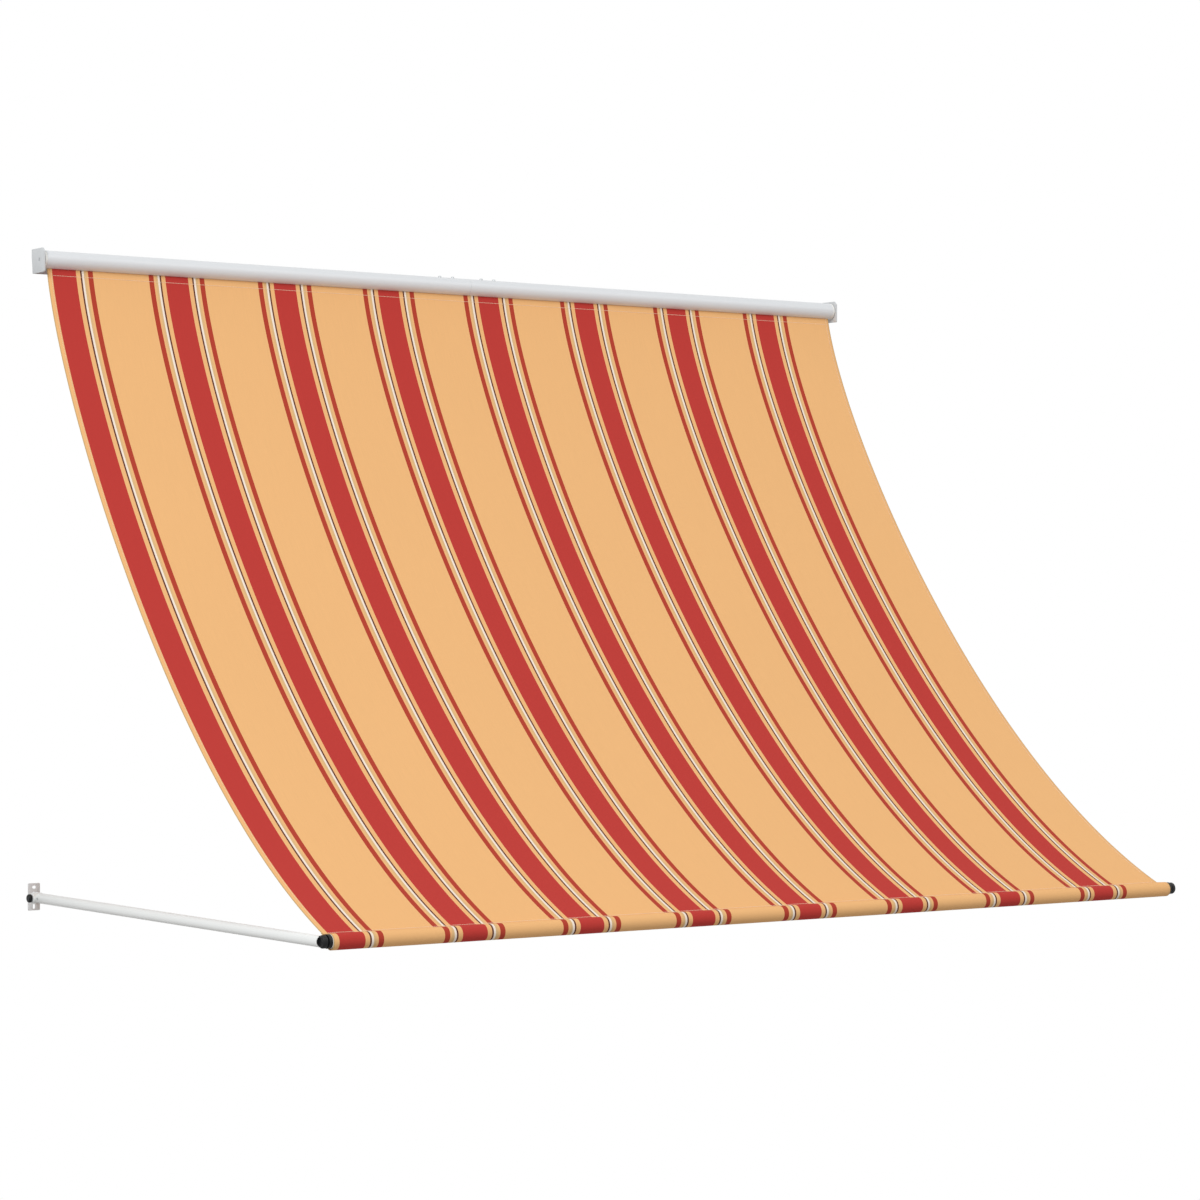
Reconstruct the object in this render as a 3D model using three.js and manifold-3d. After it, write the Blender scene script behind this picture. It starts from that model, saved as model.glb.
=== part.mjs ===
// Wall awning with drop arms: a sprung roller on two wall brackets, a striped cloth and a swinging front frame.
// Millimetres, +Z up. The wall is the plane Y = 0, the awning stands out towards -Y, +X runs along the roller.
// Side views are drawn as (out, z), where out is the distance from the wall.

import * as THREE from "three";
import { mergeVertices } from "three/addons/utils/BufferGeometryUtils.js";
import Module from "manifold-3d";

const wasm = await Module();
wasm.setup();

// Overall sizes
const fabricWidth = 2394;
const armReach = 1330; // pivot axis to front bar axis
const rollerHeight = 1522; // roller axis above the arm axis
const rollerOut = 42; // roller axis to the wall
const pivotOut = 40; // arm pivot axis to the wall

// Clearances
const fitGap = 0.3; // beside a piece that is seated
const runGap = 0.4; // beside a piece that turns

// Cloth
const clothThickness = 0.8;
const beadRodDiameter = 4;
const beadSeam = 20; // doubled cloth below the roller, up to the stitches
const pocketSeam = 22; // doubled cloth behind the front bar's loop
const bottomSlope = THREE.MathUtils.degToRad(23.3); // fall of the cloth where it meets the front bar
const topPull = 0.167; // share of the straight span that keeps the slope at the roller
const bottomPull = 0.361; // share of the straight span that keeps the slope at the front bar

// Roller tube and what is inside it
const rollerDiameter = 44;
const rollerWall = 1.2;
const rollerOverhang = 4; // tube end beyond the edge of the cloth
const grooveBore = 7;
const grooveMouth = 2.6;
const grooveWall = 1.2;
const grooveAngle = THREE.MathUtils.degToRad(282); // at rest, from straight out round by the top
const rollerSleeveLength = 220;
const sleeveWall = 1.5;
const jointScrewOffsets = [44, 83]; // from the middle joint
const jointScrewShank = 4;
const jointScrewLength = 6;
const jointScrewHead = 8.5;
const jointScrewHeadHeight = 3.4;
const endRingLength = 5.5;
const plugDepth = 45;
const gudgeonDiameter = 10;
const gudgeonInset = 6; // idler pin past the inner end of its plug
const shaftLength = 420; // from the bracket's inner face
const bushLength = 14;
const springWire = 2.2;
const springDiameter = 17; // middle of the wire
const springTurns = 18;
const springLength = 250;
const anchorLength = 14;
const anchorClearance = 1; // spring anchor inside the tube's groove

// Roller brackets
const bracketSheet = 4;
const bracketDepth = 66;
const bracketAbove = 27;
const bracketBelow = 31;
const bracketFlange = 40; // width on the wall
const flangeAbove = 9; // wall flange above the roller axis, so that the roller hides it
const bendRadius = 2; // inside the bend
const noseChamfer = 9;
const heelChamfer = 1.5;
const toeRadius = 4;
const bracketHole = 6.5;
const bracketHoleInset = 9; // hole centre to the flange's upper and lower ends
const washerThickness = 1.6;
const washerWidth = 5; // between its bore and its rim

// Arm plates, pivots and arms
const plateOffset = 9; // plate middle beyond the edge of the cloth
const plateWidth = 31;
const plateHeight = 65;
const plateThickness = 3;
const plateCorner = 2.5;
const plateSlotInset = 9.5; // slot centre to the plate's upper and lower ends
const upperSlot = { wide: 10, high: 7.5 };
const lowerSlot = { wide: 6, high: 12 };
const lugThickness = 4;
const lugRadius = 12;
const armOffset = 16; // arm axis beyond the edge of the cloth
const armDiameter = 24.5;
const armWall = 1.2;
const knuckleDiameter = 24;
const knuckleLength = 22;
const knuckleNeckHeight = 18;
const knuckleNeckReach = 9; // neck past the arm axis, away from the lug
const collarLength = 1.6;
const spigotLength = 40;
const rivetOut = 20; // rivet axis from the pivot axis
const rivetShank = 4;
const rivetHead = 6;
const rivetHeadHeight = 1.4;
const boltDiameter = 8;
const boltHeadDiameter = 13;
const boltHeadHeight = 5.5;
const boltTail = 2; // thread past the nut
const nutAcrossFlats = 13;
const nutHeight = 6.5;
const capDiameter = 20;
const capWall = 2.6;

// Front bar
const barDiameter = 30;
const barWall = 1.2;
const barEndInset = 0.3; // tube end inside the edge of the cloth
const barSleeveLength = 200;
const barPlugFlange = barDiameter; // flush with the bar
const barPlugLength = 8; // seen beyond the tube
const barPlugDepth = 36;
const axleDiameter = 10;
const axleLength = 11;
const elbowDiameter = 28;
const elbowLength = 11;

// Worked out from the sizes above
const sides = [{ name: "left", sign: -1 }, { name: "right", sign: 1 }];
const clothEdge = fabricWidth / 2;
const barOut = pivotOut + armReach;
const rollerRadius = rollerDiameter / 2;
const rollerInside = rollerRadius - rollerWall;
const tubeEnd = clothEdge + rollerOverhang;
const ringEnd = tubeEnd + fitGap + endRingLength;
const bracketInner = ringEnd + runGap + washerThickness + fitGap;
const bracketOuter = bracketInner + bracketSheet;
const grooveHalfAngle = Math.asin(grooveMouth / grooveBore);
const grooveCentre = rollerRadius - rollerWall - (grooveBore / 2) * Math.cos(grooveHalfAngle);
const grooveOuter = grooveBore / 2 + grooveWall;
const anchorDiameter = 2 * (grooveCentre - grooveOuter - anchorClearance);
const plugInner = tubeEnd - plugDepth;
const armX = clothEdge + armOffset;
const lugInner = clothEdge + plateOffset - lugThickness / 2;
const lugOuter = lugInner + lugThickness;
const knuckleInner = lugOuter + runGap;
const knuckleOuter = knuckleInner + knuckleLength;
const pivotWasherOuter = knuckleOuter + runGap + washerThickness;
const boltHeadInner = pivotWasherOuter + fitGap;
const boltHeadOuter = boltHeadInner + boltHeadHeight;
const armTubeStart = knuckleDiameter / 2 + runGap + collarLength + fitGap;
const barSwing = Math.max(elbowDiameter, barPlugFlange) / 2 + runGap; // room kept round the turning bar end
const armTubeEnd = armReach - barSwing - fitGap;
const armSpigot = armDiameter - 2 * armWall - 2 * fitGap;
const barEnd = clothEdge - barEndInset;
const barPlugOuter = barEnd + fitGap + barPlugLength;
const elbowInner = armX - elbowLength / 2;

const finishes = {
  whitePaint: { color: 0xe6e8e7, roughness: 0.42, metalness: 0.1 },
  greyPaint: { color: 0xc9cccd, roughness: 0.5, metalness: 0.15 },
  rollerPaint: { color: 0xe2e5e8, roughness: 0.34, metalness: 0.25 },
  whitePlastic: { color: 0xf0f0ee, roughness: 0.5, metalness: 0 },
  blackPlastic: { color: 0x1c1e20, roughness: 0.48, metalness: 0 },
  zinc: { color: 0xb7babb, roughness: 0.36, metalness: 0.9 },
  springSteel: { color: 0x6f7274, roughness: 0.4, metalness: 0.95 },
  cloth: { color: 0xefb97d, roughness: 0.9, metalness: 0 },
};

// Solids: joining, cutting and mirroring

function solidOf(geometry) {
  const bare = geometry.clone();
  bare.deleteAttribute("normal");
  bare.deleteAttribute("uv");
  const merged = mergeVertices(bare, 1e-3);
  const mesh = new wasm.Mesh({
    numProp: 3,
    vertProperties: new Float32Array(merged.attributes.position.array),
    triVerts: new Uint32Array(merged.index.array),
  });
  return new wasm.Manifold(mesh);
}

function geometryOf(solid) {
  const mesh = solid.getMesh();
  const geometry = new THREE.BufferGeometry();
  geometry.setAttribute("position", new THREE.BufferAttribute(mesh.vertProperties, 3));
  geometry.setIndex(new THREE.BufferAttribute(mesh.triVerts, 1));
  geometry.computeVertexNormals();
  return geometry;
}

function join(...geometries) {
  return geometryOf(geometries.map(solidOf).reduce((whole, piece) => whole.add(piece)));
}

function cut(body, ...tools) {
  return geometryOf(tools.map(solidOf).reduce((whole, tool) => whole.subtract(tool), solidOf(body)));
}

function overlap(first, second) {
  return geometryOf(solidOf(first).intersect(solidOf(second)));
}

function mirrored(geometry) {
  const flipped = geometry.index ? geometry.toNonIndexed() : geometry.clone();
  const place = flipped.attributes.position;
  for (let corner = 0; corner < place.count; corner += 3) {
    const second = new THREE.Vector3().fromBufferAttribute(place, corner + 1);
    const third = new THREE.Vector3().fromBufferAttribute(place, corner + 2);
    place.setXYZ(corner + 1, third.x, third.y, third.z);
    place.setXYZ(corner + 2, second.x, second.y, second.z);
  }
  flipped.scale(-1, 1, 1);
  return flipped;
}

function onSide(side, geometry) {
  return side.sign > 0 ? geometry : mirrored(geometry);
}

// Basic shapes

function rodAcross(diameter, xFrom, xTo, facets = 32) {
  const rod = new THREE.CylinderGeometry(diameter / 2, diameter / 2, Math.abs(xTo - xFrom), facets);
  return rod.rotateZ(Math.PI / 2).translate((xFrom + xTo) / 2, 0, 0);
}

function rodOut(diameter, outFrom, outTo, x = 0, facets = 32) {
  const rod = new THREE.CylinderGeometry(diameter / 2, diameter / 2, Math.abs(outTo - outFrom), facets);
  return rod.translate(x, -(outFrom + outTo) / 2, 0);
}

function rodUp(diameter, zFrom, zTo, x = 0, facets = 20) {
  const rod = new THREE.CylinderGeometry(diameter / 2, diameter / 2, Math.abs(zTo - zFrom), facets);
  return rod.rotateX(Math.PI / 2).translate(x, 0, (zFrom + zTo) / 2);
}

function block(xRange, outRange, zRange) {
  const size = [xRange, outRange, zRange].map(([low, high]) => high - low);
  const middle = [xRange, outRange, zRange].map(([low, high]) => (low + high) / 2);
  return new THREE.BoxGeometry(...size).translate(middle[0], -middle[1], middle[2]);
}

// Extrudes a shape drawn as (out, z) along X.
function extrudeAcross(shape, xFrom, xTo, curveSegments = 16) {
  const geometry = new THREE.ExtrudeGeometry(shape, { depth: xTo - xFrom, bevelEnabled: false, curveSegments });
  const outward = new THREE.Vector3(0, -1, 0);
  const upward = new THREE.Vector3(0, 0, 1);
  const leftward = new THREE.Vector3(-1, 0, 0);
  geometry.applyMatrix4(new THREE.Matrix4().makeBasis(outward, upward, leftward));
  return geometry.translate(xTo, 0, 0);
}

// Extrudes a shape drawn as (x, z) outwards from the wall.
function extrudeOut(shape, outFrom, outTo, curveSegments = 3) {
  const geometry = new THREE.ExtrudeGeometry(shape, { depth: outTo - outFrom, bevelEnabled: false, curveSegments });
  return geometry.rotateX(Math.PI / 2).translate(0, -outFrom, 0);
}

function ringShape(outerRadius, innerRadius) {
  const shape = new THREE.Shape().absarc(0, 0, outerRadius, 0, 2 * Math.PI);
  shape.holes.push(new THREE.Path().absarc(0, 0, innerRadius, 0, 2 * Math.PI));
  return shape;
}

function ringAcross(outerDiameter, innerDiameter, xFrom, xTo, curveSegments = 16) {
  return extrudeAcross(ringShape(outerDiameter / 2, innerDiameter / 2), xFrom, xTo, curveSegments);
}

// A slot with round ends, as long as the larger of its two sizes.
function slotShape(x, z, wide, high) {
  const radius = Math.min(wide, high) / 2;
  const halfX = wide / 2 - radius;
  const halfZ = high / 2 - radius;
  const shape = new THREE.Shape();
  shape.absarc(x + halfX, z + halfZ, radius, 0, Math.PI / 2);
  shape.absarc(x - halfX, z + halfZ, radius, Math.PI / 2, Math.PI);
  shape.absarc(x - halfX, z - halfZ, radius, Math.PI, 1.5 * Math.PI);
  shape.absarc(x + halfX, z - halfZ, radius, 1.5 * Math.PI, 2 * Math.PI);
  return shape;
}

function roundedPlate(x, width, height, corner) {
  const halfX = width / 2 - corner;
  const halfZ = height / 2 - corner;
  const shape = new THREE.Shape();
  shape.absarc(x + halfX, halfZ, corner, 0, Math.PI / 2);
  shape.absarc(x - halfX, halfZ, corner, Math.PI / 2, Math.PI);
  shape.absarc(x - halfX, -halfZ, corner, Math.PI, 1.5 * Math.PI);
  shape.absarc(x + halfX, -halfZ, corner, 1.5 * Math.PI, 2 * Math.PI);
  return shape;
}

// A strip of even thickness along a line of points.
function ribbonShape(points, thickness) {
  const upperEdge = [];
  const lowerEdge = [];
  points.forEach((point, index) => {
    const before = points[Math.max(index - 1, 0)];
    const after = points[Math.min(index + 1, points.length - 1)];
    const along = after.clone().sub(before).normalize();
    const aside = new THREE.Vector2(-along.y, along.x).multiplyScalar(thickness / 2);
    upperEdge.push(point.clone().add(aside));
    lowerEdge.unshift(point.clone().sub(aside));
  });
  return new THREE.Shape([...upperEdge, ...lowerEdge]);
}

function onCircle(centre, radius, angle) {
  return new THREE.Vector2(Math.cos(angle), Math.sin(angle)).multiplyScalar(radius).add(centre);
}

function turnToGroove(geometry) {
  return geometry.rotateX(-grooveAngle);
}

// Roller: around its own axis

// A round tube with a bead groove folded into its wall, the groove pointing straight out.
function rollerTubeShape() {
  const mouthAngle = Math.asin(grooveMouth / rollerDiameter);
  const shape = new THREE.Shape();
  shape.absarc(0, 0, rollerRadius, mouthAngle, 2 * Math.PI - mouthAngle);
  shape.absarc(grooveCentre, 0, grooveBore / 2, -grooveHalfAngle, grooveHalfAngle - 2 * Math.PI, true);
  const meetX = (grooveCentre ** 2 + rollerInside ** 2 - grooveOuter ** 2) / (2 * grooveCentre);
  const insideAngle = Math.acos(meetX / rollerInside);
  const grooveSide = Math.acos((meetX - grooveCentre) / grooveOuter);
  const inside = new THREE.Path();
  inside.absarc(0, 0, rollerInside, insideAngle, 2 * Math.PI - insideAngle);
  inside.absarc(grooveCentre, 0, grooveOuter, -grooveSide, grooveSide - 2 * Math.PI, true);
  shape.holes.push(inside);
  return shape;
}

// The room that the groove takes inside the tube, cut out of whatever fills the tube.
function keyway(xFrom, xTo) {
  const halfWidth = grooveOuter + fitGap;
  const depth = [grooveCentre - grooveOuter - fitGap, rollerDiameter];
  return turnToGroove(block([xFrom, xTo], depth, [-halfWidth, halfWidth]));
}

function jointHoles(sign) {
  return jointScrewOffsets.map((offset) => rodUp(jointScrewShank + 2 * fitGap, 0, rollerDiameter, sign * offset));
}

function rollerTube(side) {
  const tube = turnToGroove(extrudeAcross(rollerTubeShape(), fitGap / 2, tubeEnd, 18));
  return onSide(side, cut(tube, ...jointHoles(1)));
}

function rollerSleeve() {
  const half = rollerSleeveLength / 2;
  const outer = rollerInside - fitGap;
  const sleeve = ringAcross(2 * outer, 2 * (outer - sleeveWall), -half, half);
  const cuts = [keyway(-half - 1, half + 1), ...jointHoles(1), ...jointHoles(-1)];
  return cut(sleeve, ...cuts);
}

function jointScrew(x) {
  const seat = rollerRadius + fitGap;
  const top = seat + jointScrewHeadHeight;
  const shank = rodUp(jointScrewShank, seat - jointScrewLength, seat + 1, x);
  const rim = rodUp(jointScrewHead, seat, seat + jointScrewHeadHeight / 2, x);
  const crown = new THREE.CylinderGeometry(jointScrewHead / 4, jointScrewHead / 2, jointScrewHeadHeight / 2, 20);
  crown.rotateX(Math.PI / 2).translate(x, 0, top - jointScrewHeadHeight / 4);
  return join(shank, rim, crown);
}

function rollerPlug(side) {
  const spigot = rodAcross(2 * (rollerInside - fitGap), plugInner, tubeEnd + fitGap + 1, 40);
  const ring = rodAcross(rollerDiameter, tubeEnd + fitGap, ringEnd, 40);
  const bore = rodAcross(gudgeonDiameter + 2 * runGap, plugInner - 1, ringEnd + 1, 24);
  return onSide(side, cut(join(spigot, ring), bore, keyway(plugInner - 1, tubeEnd + fitGap)));
}

// Drawn on the right and mirrored, because the spring motor is at the left end.
const springEnd = { sign: -1 };
const shaftInner = bracketInner - shaftLength;

function springShaft() {
  const round = rodAcross(gudgeonDiameter, shaftInner, bracketInner, 24);
  const half = gudgeonDiameter / 2 / Math.SQRT2;
  const squareEnd = block([bracketInner - 1, bracketOuter - fitGap], [-half, half], [-half, half]);
  return onSide(springEnd, join(round, squareEnd));
}

function shaftBush() {
  const outer = shaftInner + bushLength;
  const disc = rodAcross(2 * (rollerInside - fitGap), shaftInner, outer, 40);
  const bore = rodAcross(gudgeonDiameter + 2 * runGap, shaftInner - 1, outer + 1, 24);
  return onSide(springEnd, cut(disc, bore, keyway(shaftInner - 1, outer + 1)));
}

const springOuter = plugInner - fitGap - springWire / 2;
const springInner = springOuter - springLength;
const anchorOuter = springInner - springWire / 2 - fitGap;

function springAnchor() {
  const collar = rodAcross(anchorDiameter, anchorOuter - anchorLength, anchorOuter, 28);
  const bore = rodAcross(gudgeonDiameter + 2 * fitGap, anchorOuter - anchorLength - 1, anchorOuter + 1, 24);
  return onSide(springEnd, cut(collar, bore));
}

class SpringLine extends THREE.Curve {
  getPoint(share, target = new THREE.Vector3()) {
    const angle = 2 * Math.PI * springTurns * share;
    const x = THREE.MathUtils.lerp(springInner, springOuter, share);
    return target.set(x, (springDiameter / 2) * Math.cos(angle), (springDiameter / 2) * Math.sin(angle));
  }
}

function torsionSpring() {
  const wire = new THREE.Shape().absarc(0, 0, springWire / 2, 0, 2 * Math.PI);
  const stepsPerTurn = 9;
  const coil = new THREE.ExtrudeGeometry(wire, {
    steps: springTurns * stepsPerTurn,
    extrudePath: new SpringLine(),
    curveSegments: 3,
    bevelEnabled: false,
  });
  return onSide(springEnd, coil);
}

function idlerPin() {
  return rodAcross(gudgeonDiameter, plugInner - gudgeonInset, bracketOuter - fitGap, 24);
}

function beadRod() {
  return turnToGroove(rodAcross(beadRodDiameter, -clothEdge, clothEdge, 16).translate(0, -grooveCentre, 0));
}

function washer(side, bore, xFrom) {
  const inner = bore + 2 * fitGap;
  return onSide(side, ringAcross(inner + 2 * washerWidth, inner, xFrom, xFrom + washerThickness, 10));
}

// Roller brackets: around the roller axis, the wall at out = 0

// The bent sheet seen from above, drawn as (x, y).
function bracketBend() {
  const outerBend = bendRadius + bracketSheet;
  const flangeEnd = bracketOuter - bracketFlange;
  const shape = new THREE.Shape();
  shape.moveTo(flangeEnd, 0);
  shape.lineTo(flangeEnd, -bracketSheet);
  shape.absarc(bracketInner - bendRadius, -outerBend, bendRadius, Math.PI / 2, 0, true);
  shape.lineTo(bracketInner, -bracketDepth);
  shape.lineTo(bracketOuter, -bracketDepth);
  shape.absarc(bracketOuter - outerBend, -outerBend, outerBend, 0, Math.PI / 2);
  return shape;
}

// The side plate seen from the end, with a chamfered nose and heel and a rounded toe.
function bracketSideShape() {
  const shape = new THREE.Shape();
  shape.moveTo(0, bracketAbove - heelChamfer);
  shape.lineTo(0, -bracketBelow);
  shape.absarc(bracketDepth - toeRadius, toeRadius - bracketBelow, toeRadius, 1.5 * Math.PI, 2 * Math.PI);
  shape.lineTo(bracketDepth, bracketAbove - noseChamfer);
  shape.lineTo(bracketDepth - noseChamfer, bracketAbove);
  shape.lineTo(heelChamfer, bracketAbove);
  return shape;
}

function rollerBracket(side) {
  const bend = new THREE.ExtrudeGeometry(bracketBend(), {
    depth: bracketAbove + bracketBelow,
    bevelEnabled: false,
    curveSegments: 4,
  });
  bend.translate(0, 0, -bracketBelow);
  const flangeEnd = bracketOuter - bracketFlange;
  const sidePlate = extrudeAcross(bracketSideShape(), bracketInner - bendRadius, bracketOuter + 1, 6);
  const flange = block([flangeEnd - 1, bracketInner], [-1, bracketSheet + bendRadius], [-bracketBelow, flangeAbove]);
  const sheet = overlap(bend, join(sidePlate, flange));
  const holeX = (flangeEnd + bracketInner) / 2;
  const holeLevels = [flangeAbove - bracketHoleInset, bracketHoleInset - bracketBelow];
  const wallHoles = holeLevels.map((z) =>
    rodOut(bracketHole, -1, bracketSheet + 1, holeX, 20).translate(0, 0, z));
  const half = gudgeonDiameter / 2 / Math.SQRT2 + fitGap;
  const through = [bracketInner - 1, bracketOuter + 1];
  const squareHole = block(through, [-half, half], [-half, half]);
  const roundHole = rodAcross(gudgeonDiameter + 2 * fitGap, ...through, 24);
  const shaftHole = side.sign === springEnd.sign ? squareHole : roundHole;
  return onSide(side, cut(sheet, ...wallHoles, shaftHole.translate(0, -rollerOut, 0)));
}

// Cloth: drawn in the side view from the groove to the loop round the front bar

const wrapRadius = rollerRadius + fitGap + clothThickness / 2;
const loopRadius = barDiameter / 2 + fitGap + clothThickness / 2;
const rollerCentre = new THREE.Vector2(rollerOut, rollerHeight);
const barCentre = new THREE.Vector2(barOut, 0);
const loopStart = Math.PI - bottomSlope; // where the cloth meets the loop, behind the bar

function clothLine() {
  const top = onCircle(rollerCentre, wrapRadius, grooveAngle);
  const bottom = onCircle(barCentre, loopRadius, loopStart);
  const span = top.distanceTo(bottom);
  const topWay = onCircle(new THREE.Vector2(), topPull * span, grooveAngle);
  const bottomWay = onCircle(new THREE.Vector2(), bottomPull * span, -bottomSlope);
  return new THREE.CubicBezierCurve(top, top.clone().add(topWay), bottom.clone().sub(bottomWay), bottom);
}

// Two layers that run straight away from a centre, from one radius to another.
function doubledShape(centre, angle, radii) {
  return ribbonShape(radii.map((radius) => onCircle(centre, radius, angle)), 2 * clothThickness);
}

function canopy() {
  const sheet = ribbonShape(clothLine().getPoints(48), clothThickness);
  const loop = ringShape(loopRadius + clothThickness / 2, loopRadius - clothThickness / 2);
  const pocket = doubledShape(barCentre, loopStart, [loopRadius, loopRadius + pocketSeam]);
  const beadInner = beadRodDiameter / 2 + fitGap;
  const bead = ringShape(beadInner + clothThickness, beadInner);
  const beadRadii = [grooveCentre + beadInner + clothThickness / 2, wrapRadius + beadSeam];
  const neck = doubledShape(rollerCentre, grooveAngle, beadRadii);
  const across = (shape, centre = new THREE.Vector2(), segments = 16) =>
    extrudeAcross(shape, -clothEdge, clothEdge, segments).translate(0, -centre.x, centre.y);
  return join(
    across(sheet),
    across(loop, barCentre, 20),
    across(pocket),
    across(neck),
    across(bead, onCircle(rollerCentre, grooveCentre, grooveAngle), 8),
  );
}

// Arm plates and pivots: around the pivot axis, the wall at out = 0

function armPlate(side) {
  const x = clothEdge + plateOffset;
  const plate = extrudeOut(roundedPlate(x, plateWidth, plateHeight, plateCorner), 0, plateThickness);
  const lugOutline = new THREE.Shape();
  lugOutline.moveTo(plateThickness / 2, lugRadius);
  lugOutline.lineTo(plateThickness / 2, -lugRadius);
  lugOutline.absarc(pivotOut, 0, lugRadius, -Math.PI / 2, Math.PI / 2);
  const lug = extrudeAcross(lugOutline, lugInner, lugOuter, 7);
  const slotLevel = plateHeight / 2 - plateSlotInset;
  const slots = [
    slotShape(x, slotLevel, upperSlot.wide, upperSlot.high),
    slotShape(x, -slotLevel, lowerSlot.wide, lowerSlot.high),
  ].map((shape) => extrudeOut(shape, -1, plateThickness + 1));
  const boltHole = rodAcross(boltDiameter + 2 * fitGap, lugInner - 1, lugOuter + 1, 20);
  return onSide(side, cut(join(plate, lug), ...slots, boltHole.translate(0, -pivotOut, 0)));
}

const nutOuter = lugInner - fitGap;
const nutInner = nutOuter - nutHeight;

function pivotBolt(side) {
  const shank = rodAcross(boltDiameter, nutInner - boltTail, boltHeadInner + 1, 20);
  const head = rodAcross(boltHeadDiameter, boltHeadInner, boltHeadOuter, 6);
  return onSide(side, join(shank, head));
}

function pivotNut(side) {
  const hexagon = rodAcross((2 * nutAcrossFlats) / Math.sqrt(3), nutInner, nutOuter, 6);
  return onSide(side, cut(hexagon, rodAcross(boltDiameter + 2 * fitGap, nutInner - 1, nutOuter + 1, 20)));
}

function pivotCap(side) {
  const capInner = boltHeadInner + fitGap;
  const roof = boltHeadOuter + fitGap;
  const edge = capWall / 2;
  const profile = [
    new THREE.Vector2(0, roof),
    new THREE.Vector2(boltHeadDiameter / 2 + fitGap, roof),
    new THREE.Vector2(boltHeadDiameter / 2 + fitGap, capInner),
    new THREE.Vector2(capDiameter / 2, capInner),
    new THREE.Vector2(capDiameter / 2, roof + capWall - edge),
    new THREE.Vector2(capDiameter / 2 - edge, roof + capWall),
    new THREE.Vector2(0, roof + capWall),
  ];
  return onSide(side, new THREE.LatheGeometry(profile, 28).rotateZ(-Math.PI / 2));
}

// Arms: around the pivot axis, straight out at rest

function rivetHole(x) {
  return rodAcross(rivetShank + 2 * fitGap, x, x + armDiameter, 16).translate(0, -rivetOut, 0);
}

function armKnuckle(side) {
  const barrelRadius = knuckleDiameter / 2;
  const collarStart = barrelRadius + runGap;
  const spigotStart = collarStart + collarLength;
  const barrel = rodAcross(knuckleDiameter, knuckleInner, knuckleOuter);
  const neckX = [knuckleInner, armX + knuckleNeckReach];
  const neck = block(neckX, [0, spigotStart], [-knuckleNeckHeight / 2, knuckleNeckHeight / 2]);
  const collar = rodOut(armDiameter, collarStart, spigotStart, armX);
  const spigot = rodOut(armSpigot, collarStart, spigotStart + spigotLength, armX);
  const bore = rodAcross(boltDiameter + 2 * runGap, knuckleInner - 1, knuckleOuter + 1, 20);
  return onSide(side, cut(join(barrel, neck, collar, spigot), bore, rivetHole(armX)));
}

function armTube(side) {
  const outside = rodOut(armDiameter, armTubeStart, armTubeEnd, armX);
  const inside = rodOut(armDiameter - 2 * armWall, armTubeStart - 1, armTubeEnd + 1, armX);
  return onSide(side, cut(outside, inside, rivetHole(armX)));
}

function armRivet(side) {
  const seat = armX + armDiameter / 2 + fitGap;
  const shank = rodAcross(rivetShank, armX + armSpigot / 4, seat + rivetHeadHeight / 2, 16);
  const head = rodAcross(rivetHead, seat, seat + rivetHeadHeight, 16);
  return onSide(side, join(shank, head).translate(0, -rivetOut, 0));
}

// Front bar: around its own axis, the wall towards +Y

function barElbow(side) {
  const boss = rodAcross(elbowDiameter, elbowInner, elbowInner + elbowLength);
  const spigot = rodOut(armSpigot, -elbowDiameter / 4, -barSwing - spigotLength, armX);
  const besideBoss = [elbowInner - elbowLength, elbowInner];
  const clearOfPlug = block(besideBoss, [-barSwing, barSwing], [-barSwing, barSwing]);
  const bore = rodAcross(axleDiameter + 2 * runGap, elbowInner - 1, barPlugOuter + axleLength + runGap, 24);
  return onSide(side, cut(join(boss, spigot), clearOfPlug, bore));
}

function frontBar(side) {
  return onSide(side, ringAcross(barDiameter, barDiameter - 2 * barWall, fitGap / 2, barEnd));
}

function barSleeve() {
  const outer = barDiameter - 2 * barWall - 2 * fitGap;
  return ringAcross(outer, outer - 2 * sleeveWall, -barSleeveLength / 2, barSleeveLength / 2);
}

function barPlug(side) {
  const spigot = rodAcross(barDiameter - 2 * barWall - 2 * fitGap, barEnd - barPlugDepth, barEnd + fitGap + 1);
  const flange = rodAcross(barPlugFlange, barEnd + fitGap, barPlugOuter);
  const axle = rodAcross(axleDiameter, barPlugOuter - 1, barPlugOuter + axleLength, 24);
  return onSide(side, join(spigot, flange, axle));
}

// Assembly

function piece(name, geometry, finish) {
  const mesh = new THREE.Mesh(geometry, new THREE.MeshStandardMaterial(finishes[finish]));
  mesh.name = name;
  return mesh;
}

function groupAt(out, z, pieces) {
  const group = new THREE.Group();
  group.position.set(0, -out, z);
  group.add(...pieces);
  return group;
}

const bothSides = (make) => sides.map(make);

const roller = groupAt(rollerOut, rollerHeight, [
  ...bothSides((side) => piece(`roller_tube_${side.name}`, rollerTube(side), "rollerPaint")),
  ...bothSides((side) => piece(`roller_plug_${side.name}`, rollerPlug(side), "whitePlastic")),
  ...bothSides((side) =>
    piece(`thrust_washer_${side.name}`, washer(side, gudgeonDiameter, ringEnd + runGap), "whitePlastic")),
  piece("roller_joint_sleeve", rollerSleeve(), "zinc"),
  ...bothSides((side) => jointScrewOffsets.map((offset, index) =>
    piece(`joint_screw_${side.name}_${index + 1}`, jointScrew(side.sign * offset), "zinc"))).flat(),
  piece("spring_shaft", springShaft(), "zinc"),
  piece("shaft_bush", shaftBush(), "whitePlastic"),
  piece("spring_anchor", springAnchor(), "zinc"),
  piece("torsion_spring", torsionSpring(), "springSteel"),
  piece("idler_pin", idlerPin(), "zinc"),
  piece("bead_rod", beadRod(), "whitePlastic"),
]);

const rollerBrackets = groupAt(0, rollerHeight,
  bothSides((side) => piece(`roller_bracket_${side.name}`, rollerBracket(side), "greyPaint")));

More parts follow.
